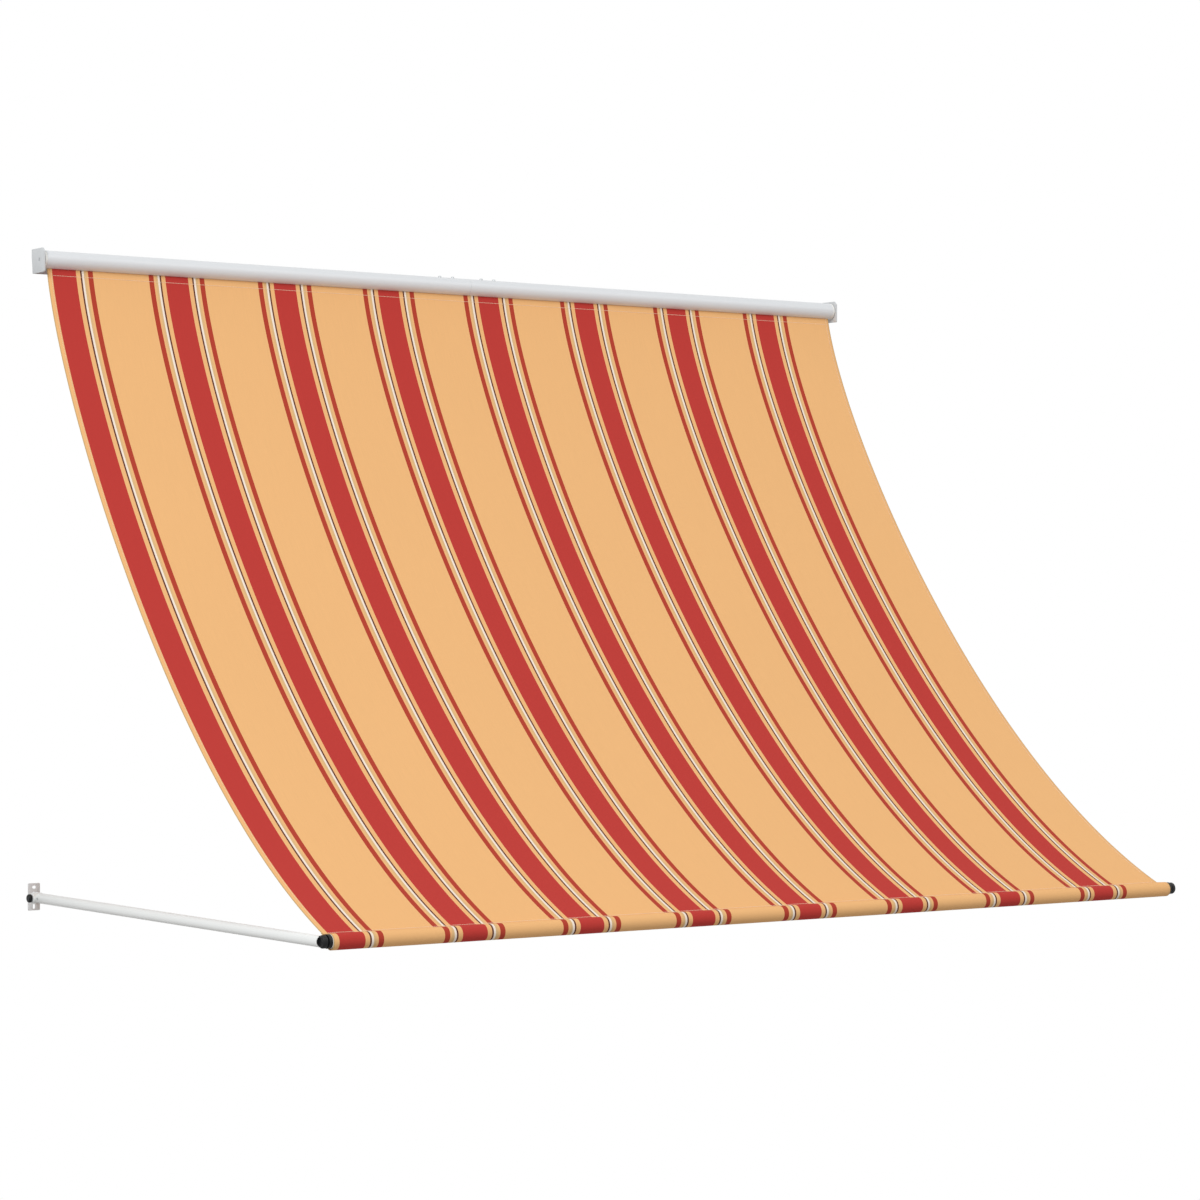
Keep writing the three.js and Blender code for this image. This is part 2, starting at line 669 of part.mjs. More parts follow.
const armPlates = groupAt(0, 0, bothSides((side) => piece(`arm_plate_${side.name}`, armPlate(side), "greyPaint")));

const arms = groupAt(pivotOut, 0, [
  ...bothSides((side) => piece(`pivot_bolt_${side.name}`, pivotBolt(side), "zinc")),
  ...bothSides((side) => piece(`pivot_nut_${side.name}`, pivotNut(side), "zinc")),
  ...bothSides((side) => piece(`pivot_washer_${side.name}`, washer(side, boltDiameter, knuckleOuter + runGap), "zinc")),
  ...bothSides((side) => piece(`pivot_cap_${side.name}`, pivotCap(side), "blackPlastic")),
  ...bothSides((side) => piece(`arm_knuckle_${side.name}`, armKnuckle(side), "whitePaint")),
  ...bothSides((side) => piece(`arm_tube_${side.name}`, armTube(side), "whitePaint")),
  ...bothSides((side) => piece(`arm_rivet_${side.name}`, armRivet(side), "zinc")),
]);

const front = groupAt(barOut, 0, [
  ...bothSides((side) => piece(`bar_elbow_${side.name}`, barElbow(side), "blackPlastic")),
  ...bothSides((side) => piece(`front_bar_${side.name}`, frontBar(side), "whitePaint")),
  ...bothSides((side) => piece(`bar_plug_${side.name}`, barPlug(side), "blackPlastic")),
  piece("bar_joint_sleeve", barSleeve(), "zinc"),
]);

// The origin is the middle of the left roller bracket's face on the wall.
const awning = new THREE.Group();
awning.position.set(bracketOuter - bracketFlange / 2, 0, -rollerHeight - (flangeAbove - bracketBelow) / 2);
awning.add(roller, rollerBrackets, piece("canopy", canopy(), "cloth"), armPlates, arms, front);

const part = new THREE.Group();
part.name = "fabric_awning";
part.add(awning);

export default part;
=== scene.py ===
import math

import bmesh
import bpy
from mathutils import Matrix, Vector
from mathutils.geometry import interpolate_bezier
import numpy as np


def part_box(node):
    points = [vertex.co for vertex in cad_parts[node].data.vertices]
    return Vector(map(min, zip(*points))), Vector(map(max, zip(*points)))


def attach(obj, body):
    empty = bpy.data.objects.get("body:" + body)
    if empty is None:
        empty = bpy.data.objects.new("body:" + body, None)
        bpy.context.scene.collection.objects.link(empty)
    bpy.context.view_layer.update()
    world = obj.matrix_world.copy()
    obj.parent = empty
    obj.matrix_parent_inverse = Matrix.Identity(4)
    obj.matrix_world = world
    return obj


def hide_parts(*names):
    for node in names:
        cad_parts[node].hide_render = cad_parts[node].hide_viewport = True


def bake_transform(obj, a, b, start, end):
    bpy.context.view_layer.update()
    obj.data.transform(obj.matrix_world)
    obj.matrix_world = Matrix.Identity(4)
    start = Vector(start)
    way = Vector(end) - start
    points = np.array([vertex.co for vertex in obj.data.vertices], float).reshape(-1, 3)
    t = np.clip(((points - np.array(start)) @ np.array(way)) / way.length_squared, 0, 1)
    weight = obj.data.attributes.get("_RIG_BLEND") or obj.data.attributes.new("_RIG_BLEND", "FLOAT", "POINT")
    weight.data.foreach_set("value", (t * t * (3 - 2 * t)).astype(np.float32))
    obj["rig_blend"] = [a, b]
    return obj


# Drop-arm awning: sprung roller on wall brackets, striped cloth, two arms and a front bar.
# Metres. The wall is the plane y = 0, the awning stands out towards -y, x runs along the roller.
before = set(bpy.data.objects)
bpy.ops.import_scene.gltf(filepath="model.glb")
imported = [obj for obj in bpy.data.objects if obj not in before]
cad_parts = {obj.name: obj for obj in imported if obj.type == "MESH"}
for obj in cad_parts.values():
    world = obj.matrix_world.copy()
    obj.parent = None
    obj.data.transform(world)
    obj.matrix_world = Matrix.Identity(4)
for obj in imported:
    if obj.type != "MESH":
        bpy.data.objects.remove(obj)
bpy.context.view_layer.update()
print("frame loaded:", len(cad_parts), "nodes")

scene = bpy.context.scene
scene.view_settings.view_transform = "Standard"

across = Vector((1, 0, 0))
outward = Vector((0, -1, 0))
upward = Vector((0, 0, 1))
sides = [{"name": "left", "inward": across}, {"name": "right", "inward": -across}]


def middleOf(node):
    low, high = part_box(node)
    return (low + high) / 2


def axisPoint(axis, x):
    return Vector((x, axis.y, axis.z))


# x of the end of a node that is further from the middle of the awning
def outerEnd(node, side):
    low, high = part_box(node)
    return low.x if side["name"] == "left" else high.x


def nodeOn(side, name):
    return name + "_" + side["name"]


# roller_tube_left becomes rollerTubeLeft
def camelCase(node):
    first, *others = node.split("_")
    return first + "".join(word.capitalize() for word in others)


# radius and length of a round node that lies along x
def roundSize(node):
    low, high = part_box(node)
    return (high.z - low.z) / 2, high.x - low.x


rollerAxis = middleOf("roller_plug_left")
pivotAxis = middleOf("pivot_washer_left")
barAxis = middleOf("front_bar_left")
clothLow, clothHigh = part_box("canopy")
through = 0.02  # drills and blocks reach this far past a thin wall


# Shapes

def vertsIn(geometry):
    return [item for item in geometry if isinstance(item, bmesh.types.BMVert)]


# The profile holds (distance along the axis, radius), and is closed where it starts off the axis
def spinProfile(bm, start, axis, profile, steps):
    side = axis.orthogonal().normalized()
    points = [bm.verts.new(start + axis * along + side * radius) for along, radius in profile]
    lines = [bm.edges.new(pair) for pair in zip(points, points[1:])]
    if profile[0][1] > 0:
        lines.append(bm.edges.new((points[-1], points[0])))
    bmesh.ops.spin(bm, geom=points + lines, cent=start, axis=axis, angle=2 * math.pi, steps=steps,
                   use_merge=True)
    bmesh.ops.remove_doubles(bm, verts=bm.verts, dist=1e-6)
    bmesh.ops.recalc_face_normals(bm, faces=bm.faces)


# a rod's profile, or a ring's or tube's with a hole
def rodProfile(length, radius, hole=0):
    return [(0, hole), (0, radius), (length, radius), (length, hole)]


def softenEdges(bm, width, segments=2, sharpest=0.5):
    edges = [edge for edge in bm.edges if edge.is_manifold and edge.calc_face_angle() > sharpest]
    bmesh.ops.bevel(bm, geom=edges, offset=width, offset_type="OFFSET", affect="EDGES",
                    segments=segments, profile=0.5, material=-1, clamp_overlap=True)


def roundCorners(bm, corners, radius, segments):
    bmesh.ops.bevel(bm, geom=corners, offset=radius, offset_type="OFFSET", affect="VERTICES",
                    segments=segments, profile=0.5, material=-1)
    bmesh.ops.remove_doubles(bm, verts=bm.verts, dist=1e-6)


def addBlock(bm, corner, opposite):
    size = [abs(value) for value in Vector(opposite) - Vector(corner)]
    place = Matrix.Translation((Vector(corner) + Vector(opposite)) / 2)
    bmesh.ops.create_cube(bm, size=1, matrix=place @ Matrix.Diagonal((*size, 1)))


def addRod(bm, start, end, radius, segments=32):
    run = Vector(end) - Vector(start)
    place = Matrix.Translation((Vector(start) + Vector(end)) / 2)
    turn = run.to_track_quat("Z", "Y").to_matrix().to_4x4()
    bmesh.ops.create_cone(bm, cap_ends=True, segments=segments, radius1=radius, radius2=radius,
                          depth=run.length, matrix=place @ turn)


def objectOf(bm, name):
    mesh = bpy.data.meshes.new(name)
    bm.to_mesh(mesh)
    made = bpy.data.objects.new(name, mesh)
    scene.collection.objects.link(made)
    return made


def dropObject(made):
    mesh = made.data
    bpy.data.objects.remove(made)
    bpy.data.meshes.remove(mesh)


# Runs one modifier on a bmesh and leaves the result in it
def applyModifier(bm, kind, **settings):
    blank = objectOf(bm, "blank")
    change = blank.modifiers.new("change", kind)
    for name, value in settings.items():
        setattr(change, name, value)
    shaped = blank.evaluated_get(bpy.context.evaluated_depsgraph_get())
    bm.clear()
    bm.from_mesh(shaped.to_mesh())
    shaped.to_mesh_clear()
    dropObject(blank)


def combine(bm, tool, how):
    cutter = objectOf(tool, "tool")
    applyModifier(bm, "BOOLEAN", object=cutter, operation=how, solver="EXACT")
    dropObject(cutter)
    tool.free()


def cutBlock(bm, corner, opposite):
    tool = bmesh.new()
    addBlock(tool, corner, opposite)
    combine(bm, tool, "DIFFERENCE")


def cutRod(bm, start, end, radius, segments=32):
    tool = bmesh.new()
    addRod(tool, start, end, radius, segments)
    combine(bm, tool, "DIFFERENCE")


def joinInto(bm, extra):
    mesh = bpy.data.meshes.new("extra")
    extra.to_mesh(mesh)
    extra.free()
    bm.from_mesh(mesh)
    bpy.data.meshes.remove(mesh)


def thicken(bm, thickness):
    # the new wall is on the side that the faces turn away from
    applyModifier(bm, "SOLIDIFY", thickness=thickness, offset=-1, use_even_offset=True)


def placePiece(bm, name, body, material, standsFor=(), crease=0.6):
    bmesh.ops.remove_doubles(bm, verts=bm.verts, dist=1e-6)
    piece = objectOf(bm, name)
    bm.free()
    mesh = piece.data
    mesh.polygons.foreach_set("use_smooth", [True] * len(mesh.polygons))
    mesh.set_sharp_from_angle(angle=crease)
    mesh.materials.append(material)
    if standsFor:
        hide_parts(*standsFor)
    if body:
        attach(piece, body)
    return piece


# A piece that stands for one node and is named after it
def placeFor(node, bm, body, look, crease=0.6):
    placePiece(bm, camelCase(node), body, finish[look], [node], crease)


# A turned piece round an axis along x, from the node's left end or, on a side, from its outer end
def makeTurned(node, axis, profile, body, look, steps, edge=None, side=None):
    start = outerEnd(node, side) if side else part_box(node)[0].x
    bm = bmesh.new()
    spinProfile(bm, axisPoint(axis, start), side["inward"] if side else across, profile, steps)
    if edge:
        softenEdges(bm, edge)
    placeFor(node, bm, body, look)


# Materials

def srgb(red, green, blue):
    def linear(value):
        share = value / 255
        return share / 12.92 if share <= 0.04045 else ((share + 0.055) / 1.055) ** 2.4
    return linear(red), linear(green), linear(blue), 1


def addNode(tree, kind, **settings):
    node = tree.nodes.new(kind)
    for name, value in settings.items():
        setattr(node, name, value)
    return node


def feed(tree, value, socket):
    if isinstance(value, bpy.types.NodeSocket):
        tree.links.new(value, socket)
    else:
        socket.default_value = value


def fill(node, values):
    for name, value in values.items():
        node.inputs[name].default_value = value


def calc(tree, how, *values):
    step = addNode(tree, "ShaderNodeMath", operation=how)
    for value, socket in zip(values, step.inputs):
        feed(tree, value, socket)
    return step.outputs[0]


def noiseOn(tree, place, scale, detail):
    noise = addNode(tree, "ShaderNodeTexNoise")
    feed(tree, place, noise.inputs["Vector"])
    feed(tree, scale, noise.inputs["Scale"])
    noise.inputs["Detail"].default_value = detail
    return noise.outputs["Fac"]


def noiseAboutZero(tree, place, scale, detail):
    return calc(tree, "SUBTRACT", noiseOn(tree, place, scale, detail), 0.5)


def mixColours(tree, share, first, second):
    mix = addNode(tree, "ShaderNodeMix", data_type="RGBA")
    feed(tree, share, mix.inputs[0])
    feed(tree, first, mix.inputs[6])
    feed(tree, second, mix.inputs[7])
    return mix.outputs[2]


def shadeColour(tree, colour, brightness):
    shade = addNode(tree, "ShaderNodeHueSaturation")
    feed(tree, colour, shade.inputs["Color"])
    feed(tree, brightness, shade.inputs["Value"])
    return shade.outputs["Color"]


def newGroup(name, inputs, outputs):
    group = bpy.data.node_groups.new(name, "ShaderNodeTree")
    for label, kind in inputs:
        group.interface.new_socket(label, in_out="INPUT", socket_type="NodeSocket" + kind)
    for label, kind in outputs:
        group.interface.new_socket(label, in_out="OUTPUT", socket_type="NodeSocket" + kind)
    start = addNode(group, "NodeGroupInput")
    end = addNode(group, "NodeGroupOutput")
    return group, start.outputs, end.inputs


surface = {"blotchScale": 9, "glossScale": 70, "dustScale": 34, "dustColour": srgb(205, 196, 182),
           "bump": 0.5}


# Grain of a sprayed or moulded surface: soft blotches, fine bumps and uneven gloss
def makeGrainGroup():
    group, given, result = newGroup(
        "surfaceGrain",
        [("Color", "Color"), ("Stretch", "Vector"), ("Grain Scale", "Float"), ("Blotch", "Float"),
         ("Roughness", "Float"), ("Roughness Spread", "Float")],
        [("Color", "Color"), ("Roughness", "Float"), ("Height", "Float")])
    place = addNode(group, "ShaderNodeTexCoord").outputs["Object"]
    mapping = addNode(group, "ShaderNodeMapping")
    feed(group, place, mapping.inputs["Vector"])
    feed(group, given["Stretch"], mapping.inputs["Scale"])
    stretched = mapping.outputs["Vector"]
    blotch = noiseAboutZero(group, stretched, surface["blotchScale"], detail=4)
    brightness = calc(group, "MULTIPLY_ADD", blotch, given["Blotch"], 1)
    feed(group, shadeColour(group, given["Color"], brightness), result["Color"])
    gloss = noiseAboutZero(group, stretched, surface["glossScale"], detail=5)
    feed(group, calc(group, "MULTIPLY_ADD", gloss, given["Roughness Spread"], given["Roughness"]),
         result["Roughness"])
    feed(group, noiseOn(group, stretched, given["Grain Scale"], detail=3), result["Height"])
    return group


# Dust that settles on faces turned upwards
def makeDustGroup():
    group, given, result = newGroup(
        "settledDust",
        [("Color", "Color"), ("Dust Color", "Color"), ("Amount", "Float")],
        [("Color", "Color"), ("Dust", "Float")])
    normal = addNode(group, "ShaderNodeSeparateXYZ")
    feed(group, addNode(group, "ShaderNodeNewGeometry").outputs["Normal"], normal.inputs[0])
    place = addNode(group, "ShaderNodeTexCoord").outputs["Object"]
    facing = calc(group, "MAXIMUM", normal.outputs["Z"], 0)
    patches = calc(group, "MULTIPLY", facing, noiseOn(group, place, surface["dustScale"], detail=5))
    dust = calc(group, "MULTIPLY", patches, given["Amount"])
    feed(group, mixColours(group, dust, given["Color"], given["Dust Color"]), result["Color"])
    feed(group, dust, result["Dust"])
    return group


grainGroup = makeGrainGroup()
dustGroup = makeDustGroup()


def startMaterial(name, specular, metallic=0.0):
    material = bpy.data.materials.new(name)
    material.use_nodes = True
    tree = material.node_tree
    shader = tree.nodes["Principled BSDF"]
    fill(shader, {"Metallic": metallic, "Specular IOR Level": specular})
    return material, tree, shader


def addGrain(tree, look):
    grain = addNode(tree, "ShaderNodeGroup", node_tree=grainGroup)
    fill(grain, {"Color": look["colour"], "Stretch": look["stretch"], "Grain Scale": look["grain"],
                 "Blotch": look["blotch"], "Roughness": look["roughness"],
                 "Roughness Spread": look["spread"]})
    return grain


def addBump(tree, shader, height, strength, distance):
    bump = addNode(tree, "ShaderNodeBump")
    fill(bump, {"Strength": strength, "Distance": distance})
    feed(tree, height, bump.inputs["Height"])
    feed(tree, bump.outputs["Normal"], shader.inputs["Normal"])


# Paint, plastic and metal differ only in these values, and most share the first ones
plainLook = {"metallic": 0.0, "specular": 0.4, "stretch": (1, 1, 1)}
finishes = {
    "rollerPaint": {"slot": "roller_paint", "colour": srgb(221, 224, 227), "roughness": 0.33, "spread": 0.12,
                    "stretch": (0.04, 1, 1), "grain": 420, "blotch": 0.04, "bump": 0.00006, "dust": 0.10},
    "greyPaint": {"slot": "grey_paint", "colour": srgb(208, 211, 213), "roughness": 0.46, "spread": 0.15,
                  "grain": 900, "blotch": 0.05, "bump": 0.00008, "dust": 0.10},
    # painted light: the brackets' grey paint made lighter, so the plate in the cloth's shadow still shows
    # bright
    "brightenedPlatePaint": {"slot": "grey_paint", "colour": srgb(232, 233, 234), "roughness": 0.46, "spread": 0.15,
                   "grain": 900, "blotch": 0.06, "bump": 0.00008, "dust": 0.08},
    "whitePaint": {"slot": "white_paint", "colour": srgb(241, 243, 242), "roughness": 0.40, "spread": 0.14,
                   "stretch": (1, 0.12, 1), "grain": 800, "blotch": 0.04, "bump": 0.00006, "dust": 0.10},
    "whitePlastic": {"slot": "white_plastic", "colour": srgb(236, 236, 233), "roughness": 0.52,
                     "spread": 0.10, "grain": 1500, "blotch": 0.03, "bump": 0.00005, "dust": 0.06},
    "blackPlastic": {"slot": "black_plastic", "colour": srgb(19, 20, 22), "specular": 0.22,
                     "roughness": 0.46, "spread": 0.16, "grain": 1600, "blotch": 0.16, "bump": 0.00008,
                     "dust": 0.05},
    "zinc": {"slot": "zinc", "colour": srgb(176, 179, 181), "metallic": 0.9, "specular": 0.5,
             "roughness": 0.38, "spread": 0.25, "grain": 600, "blotch": 0.20, "bump": 0.00004, "dust": 0.05},
    "springSteel": {"slot": "spring_steel", "colour": srgb(112, 114, 116), "metallic": 0.9, "specular": 0.5,
                    "roughness": 0.42, "spread": 0.25, "grain": 900, "blotch": 0.20, "bump": 0.00004,
                    "dust": 0.03},
}


def makeFinish(name, look):
    material, tree, shader = startMaterial(name, look["specular"], look["metallic"])
    grain = addGrain(tree, look)
    dust = addNode(tree, "ShaderNodeGroup", node_tree=dustGroup)
    feed(tree, grain.outputs["Color"], dust.inputs["Color"])
    fill(dust, {"Dust Color": surface["dustColour"], "Amount": look["dust"]})
    feed(tree, dust.outputs["Color"], shader.inputs["Base Color"])
    dulled = calc(tree, "ADD", grain.outputs["Roughness"], dust.outputs["Dust"])
    feed(tree, dulled, shader.inputs["Roughness"])
    addBump(tree, shader, grain.outputs["Height"], surface["bump"], look["bump"])
    return material


finish = {name: makeFinish(name, {**plainLook, **look}) for name, look in finishes.items()}
print("finishes:", ", ".join(finish))

# Cloth: the fall is drawn as (out, z), from the roller's groove to the flap behind the front bar
cloth = {
    "thickness": 0.0008,
    "layerGap": 0.0001,
    "clearance": 0.0003,  # to the roller and the bar
    "grooveTurn": math.radians(282),  # where it comes out of the roller, from straight out
    "bottomSlope": math.radians(23.3),
    "topPull": 0.167,  # shares of the span that keep the slope at each end
    "bottomPull": 0.361,
    "freeSteps": 110,
    "neckDepths": (0.004, 0.0012),  # rows inside the groove
    "foldRow": 0.003,  # rows beside a fold
    "loopSteps": 44,
    "overRows": (0.1, 0.4, 0.75),  # shares of the way from the seam to the loop
    "backRows": (0.3, 0.65, 0.92),  # and from the loop to the flap
    "pocket": 0.017,  # bar's loop to the seam behind it
    "flap": 0.006,  # beyond that seam, under the sheet
    "flapStitch": 0.0018,
    "loopSlack": 0.0013,
    "loopSag": 0.0015,
    "hem": 0.014,
    "hemStitch": 0.010,
    "hemStitchEnd": 0.05,  # before the seam at the bar
    "fold": 0.0006,
    "foldShadeLine": 0.0022,  # width of the darker tan line at the hem's edge, painted shade of its fold
    "plainEdge": 0.0125,  # no stripes up to here from the edge
    "topSeam": 0.016,  # below the roller
    "pocketPast": 0.006,  # the pocket's layer runs on below that seam
    "columnWidth": 0.05,
    "inset": 0.0012,  # a little of the bar shows at each end of its loop
    "mapName": "OFBake",
}
clothLow.x += cloth["inset"]
clothHigh.x -= cloth["inset"]

stripes = {
    "repeat": 0.3033,
    "firstMiddle": 0.0442,  # middle of the first broad stripe, from the left edge
    # half widths outwards from the middle of a broad stripe, and the colour up to there
    "bands": [(0.0310, srgb(190, 60, 54)), (0.0424, srgb(240, 186, 126)), (0.0466, srgb(100, 54, 44)),
              (0.0516, srgb(246, 232, 218)), (0.0575, srgb(222, 184, 131)), (0.0633, srgb(240, 186, 126)),
              (0.0760, srgb(180, 65, 48))],
    "ground": srgb(240, 186, 126),
    # painted shade: the darker tan of the hem's fold line
    "edge": srgb(208, 172, 118),
}

# long soft waves in the hanging cloth
ripple = {"height": 0.0012, "slowLength": 0.83, "slowDrift": 2.5, "quickLength": 0.47, "quickDrift": -4,
          "quickStart": 1, "quickShare": 0.6}

# the weave tone is painted shade: lower threads darker, raised ones lighter
weave = {"pitch": 0.0007, "slubAcross": 900, "slubAlong": 14, "slubTone": 0.10, "cloudScale": 2.5,
         "cloudTone": 0.03, "weaveShadeTone": 0.03, "roughness": 0.86, "roughnessSpread": 0.2, "bump": 0.35,
         "bumpDepth": 0.00012, "specular": 0.12, "sheen": 0.03, "sheenRoughness": 0.5}

thread = {"length": 0.0041, "pitch": 0.0044, "thickness": 0.0015, "rise": 0.15,
          "colour": srgb(246, 222, 196), "stretch": (1, 1, 1), "grain": 2600, "blotch": 0.12,
          "roughness": 0.7, "spread": 0.2, "specular": 0.3, "bump": 0.6, "bumpDepth": 0.0002}

stitchLift = cloth["thickness"] / 2 + thread["thickness"] * thread["rise"]
rollerRadius = roundSize("roller_plug_left")[0]
barRadius = roundSize("front_bar_left")[0]
wrapRadius = rollerRadius + cloth["clearance"] + cloth["thickness"] / 2
loopRadius = barRadius + cloth["clearance"] + cloth["thickness"] / 2
layerStep = cloth["thickness"] + cloth["layerGap"]


def sideView(point):
    return Vector((-point.y, point.z))


def intoSpace(x, spot):
    return Vector((x, -spot.x, spot.y))


def onCircle(centre, radius, turn):
    return centre + radius * Vector((math.cos(turn), math.sin(turn)))


def arcPoints(centre, radius, turnFrom, turnTo, steps):
    turns = [turnFrom + (turnTo - turnFrom) * step / steps for step in range(steps + 1)]
    return [onCircle(centre, radius, turn) for turn in turns]


class Fall:
    # a line in the side view with its length, so that a place on it can be asked for by length
    def __init__(self, points):
        self.points = points
        self.along = [0.0]
        for first, second in zip(points, points[1:]):
            self.along.append(self.along[-1] + (second - first).length)

    def normalAt(self, index):
        before = self.points[max(index - 1, 0)]
        after = self.points[min(index + 1, len(self.points) - 1)]
        run = (after - before).normalized()
        return Vector((-run.y, run.x))

    def at(self, length):
        index = max(i for i, value in enumerate(self.along[:-1]) if value <= length or i == 0)
        share = (length - self.along[index]) / (self.along[index + 1] - self.along[index])
        point = self.points[index].lerp(self.points[index + 1], share)
        normal = self.normalAt(index).lerp(self.normalAt(index + 1), share).normalized()
        return point, normal


def freeLine():
    roller, bar = sideView(rollerAxis), sideView(barAxis)
    top = onCircle(roller, wrapRadius, cloth["grooveTurn"])
    bottom = onCircle(bar, loopRadius, math.pi - cloth["bottomSlope"])
    span = (bottom - top).length
    topRun = onCircle(Vector((0, 0)), cloth["topPull"] * span, cloth["grooveTurn"])
    bottomRun = onCircle(Vector((0, 0)), cloth["bottomPull"] * span, -cloth["bottomSlope"])
    points = interpolate_bezier(top, top + topRun, bottom - bottomRun, bottom, cloth["freeSteps"])
    return Fall([Vector(point[:2]) for point in points])


def clothFall():
    roller, bar = sideView(rollerAxis), sideView(barAxis)
    neck = [onCircle(roller, wrapRadius - depth, cloth["grooveTurn"]) for depth in cloth["neckDepths"]]
    free = freeLine()
    # the sheet runs down to the seam behind the bar
    seam = free.along[-1] - cloth["pocket"]
    close = cloth["foldRow"]
    sheet = [point for point, along in zip(free.points, free.along) if along < seam - 2 * close]
    sheet += [free.at(seam - close)[0], free.at(seam)[0]]
    # over the top of the bar, round it and back to the seam
    centre = bar - Vector((0, cloth["loopSag"]))
    radius = loopRadius + cloth["loopSlack"]
    away = sheet[-1] - centre
    turn = math.atan2(away.y, away.x)
    opening = math.acos(radius / away.length)
    loop = arcPoints(centre, radius, turn - opening, turn + opening - 2 * math.pi, cloth["loopSteps"])
    over = [sheet[-1].lerp(loop[0], share) for share in cloth["overRows"]]
    whole = Fall(neck + sheet + over + loop)
    freeStart = whole.along[len(neck)]
    freeEnd = whole.along[len(neck) + len(sheet) - 1]
    # the flap lies under the sheet, below both side hems
    flap = []
    for distance in (0, cloth["flapStitch"], cloth["flap"]):
        point, normal = whole.at(freeEnd - distance)
        flap.append(point - normal * 3 * layerStep)
    back = [loop[-1].lerp(flap[0], share) for share in cloth["backRows"]]
    return Fall(whole.points + back + flap), freeStart, freeEnd


def rippleAt(x, along, freeStart, freeEnd):
    share = min(max((along - freeStart) / (freeEnd - freeStart), 0), 1)
    swell = math.sin(math.pi * share) ** 2 * ripple["height"]
    slow = math.sin(2 * math.pi * x / ripple["slowLength"] + ripple["slowDrift"] * share)
    quick = math.sin(2 * math.pi * x / ripple["quickLength"] + ripple["quickDrift"] * share
                     + ripple["quickStart"])
    return swell * (slow + ripple["quickShare"] * quick)


# (x, lift off the fall, distance across the flat cloth) for the left hem, the cloth and the right hem
def clothColumns():
    left, right, hem = clothLow.x, clothHigh.x, cloth["hem"]
    fold, stitch = cloth["fold"], cloth["hemStitch"]
    leftHem = [(left + hem, -layerStep, -hem), (left + stitch, -layerStep, -stitch),
               (left + fold, -layerStep, -fold), (left, -layerStep / 2, 0), (left + fold, 0, fold),
               (left + stitch, 0, stitch)]
    count = round((right - left - 2 * hem) / cloth["columnWidth"])
    inner = [left + hem + (right - left - 2 * hem) * step / count for step in range(count + 1)]
    rightHem = [(left + right - x, lift, right - left - flat) for x, lift, flat in reversed(leftHem)]
    return leftHem, [(x, 0, x - left) for x in inner], rightHem


# Draws the fall at the first column and extrudes it from column to column
def weaveSheet(bm, fall, columns, lifted, rowCount):
    rows = bm.verts.layers.int["row"]
    flat = bm.verts.layers.float["flat"]
    line = []
    for row in range(rowCount):
        vert = bm.verts.new((0, 0, 0))
        vert[rows] = row
        line.append(vert)
    edges = [bm.edges.new(pair) for pair in zip(line, line[1:])]
    for index, (x, lift, distance) in enumerate(columns):
        if index:
            made = bmesh.ops.extrude_edge_only(bm, edges=edges)["geom"]
            line = vertsIn(made)
            edges = [item for item in made if isinstance(item, bmesh.types.BMEdge)]
        for vert in line:
            row = vert[rows]
            spot = fall.points[row] + fall.normalAt(row) * (lift + lifted(x, fall.along[row]))
            vert.co = intoSpace(x, spot)
            vert[flat] = distance


def addStitch(bm, place, run, normal):
    side = normal.cross(run)
    turn = Matrix((run, side, normal)).transposed().to_4x4()
    size = Matrix.Diagonal((thread["length"] / 2, thread["thickness"] / 2, thread["thickness"] / 2, 1))
    bmesh.ops.create_icosphere(bm, subdivisions=1, radius=1, matrix=Matrix.Translation(place) @ turn @ size)


# One row of stitches, at pairs of x and length down the fall
def stitchRow(bm, fall, places, lift, lifted, run=None):
    row = bmesh.new()
    for x, length in places:
        spot, normal = fall.at(length)
        place = intoSpace(x, spot + normal * (lift + lifted(x, length)))
        downhill = Vector((0, -normal.y, -normal.x))
        addStitch(row, place, downhill if run is None else run, intoSpace(0, normal))
    joinInto(bm, row)


def evenSteps(low, high):
    count = int((high - low) / thread["pitch"])
    return [low + (step + 0.5) * thread["pitch"] for step in range(count)]


def stitchAcross(bm, fall, length, lift, lifted):
    steps = evenSteps(clothLow.x + cloth["hem"], clothHigh.x - cloth["hem"])
    stitchRow(bm, fall, [(x, length) for x in steps], lift, lifted, across)


def stitchDown(bm, fall, x, lengthFrom, lengthTo, lift, lifted):
    stitchRow(bm, fall, [(x, length) for length in evenSteps(lengthFrom, lengthTo)], lift, lifted)


# Colour of the stripes for a distance across the cloth
def stripeColour(tree, width, flatWidth):
    # distance to the middle of the nearest broad stripe, as a share of half a repeat
    halfRepeat = stripes["repeat"] / 2
    shifted = calc(tree, "SUBTRACT", width, stripes["firstMiddle"])
    nearest = calc(tree, "PINGPONG", shifted, halfRepeat)
    ramp = addNode(tree, "ShaderNodeValToRGB")
    ramp.color_ramp.interpolation = "CONSTANT"
    stops = ramp.color_ramp.elements
    starts = [0] + [edge for edge, colour in stripes["bands"]]
    colours = [colour for edge, colour in stripes["bands"]] + [stripes["ground"]]
    while len(stops) < len(starts):
        stops.new(1)
    for stop, start, colour in zip(stops, starts, colours):
        stop.position = start / halfRepeat
        stop.color = colour
    feed(tree, calc(tree, "DIVIDE", nearest, halfRepeat), ramp.inputs["Fac"])
    # plain cloth along both sides, with a darker tan line of painted shade at the very edge, where the hem
    # folds
    toRight = calc(tree, "SUBTRACT", flatWidth - 2 * cloth["hem"], width)
    toEdge = calc(tree, "MINIMUM", width, toRight)
    plain = calc(tree, "LESS_THAN", toEdge, cloth["plainEdge"])
    colour = mixColours(tree, plain, ramp.outputs["Color"], stripes["ground"])
    # the painted shade of the hem's fold
    edge = calc(tree, "LESS_THAN", calc(tree, "ABSOLUTE", toEdge), cloth["foldShadeLine"])
    return mixColours(tree, edge, colour, stripes["edge"])


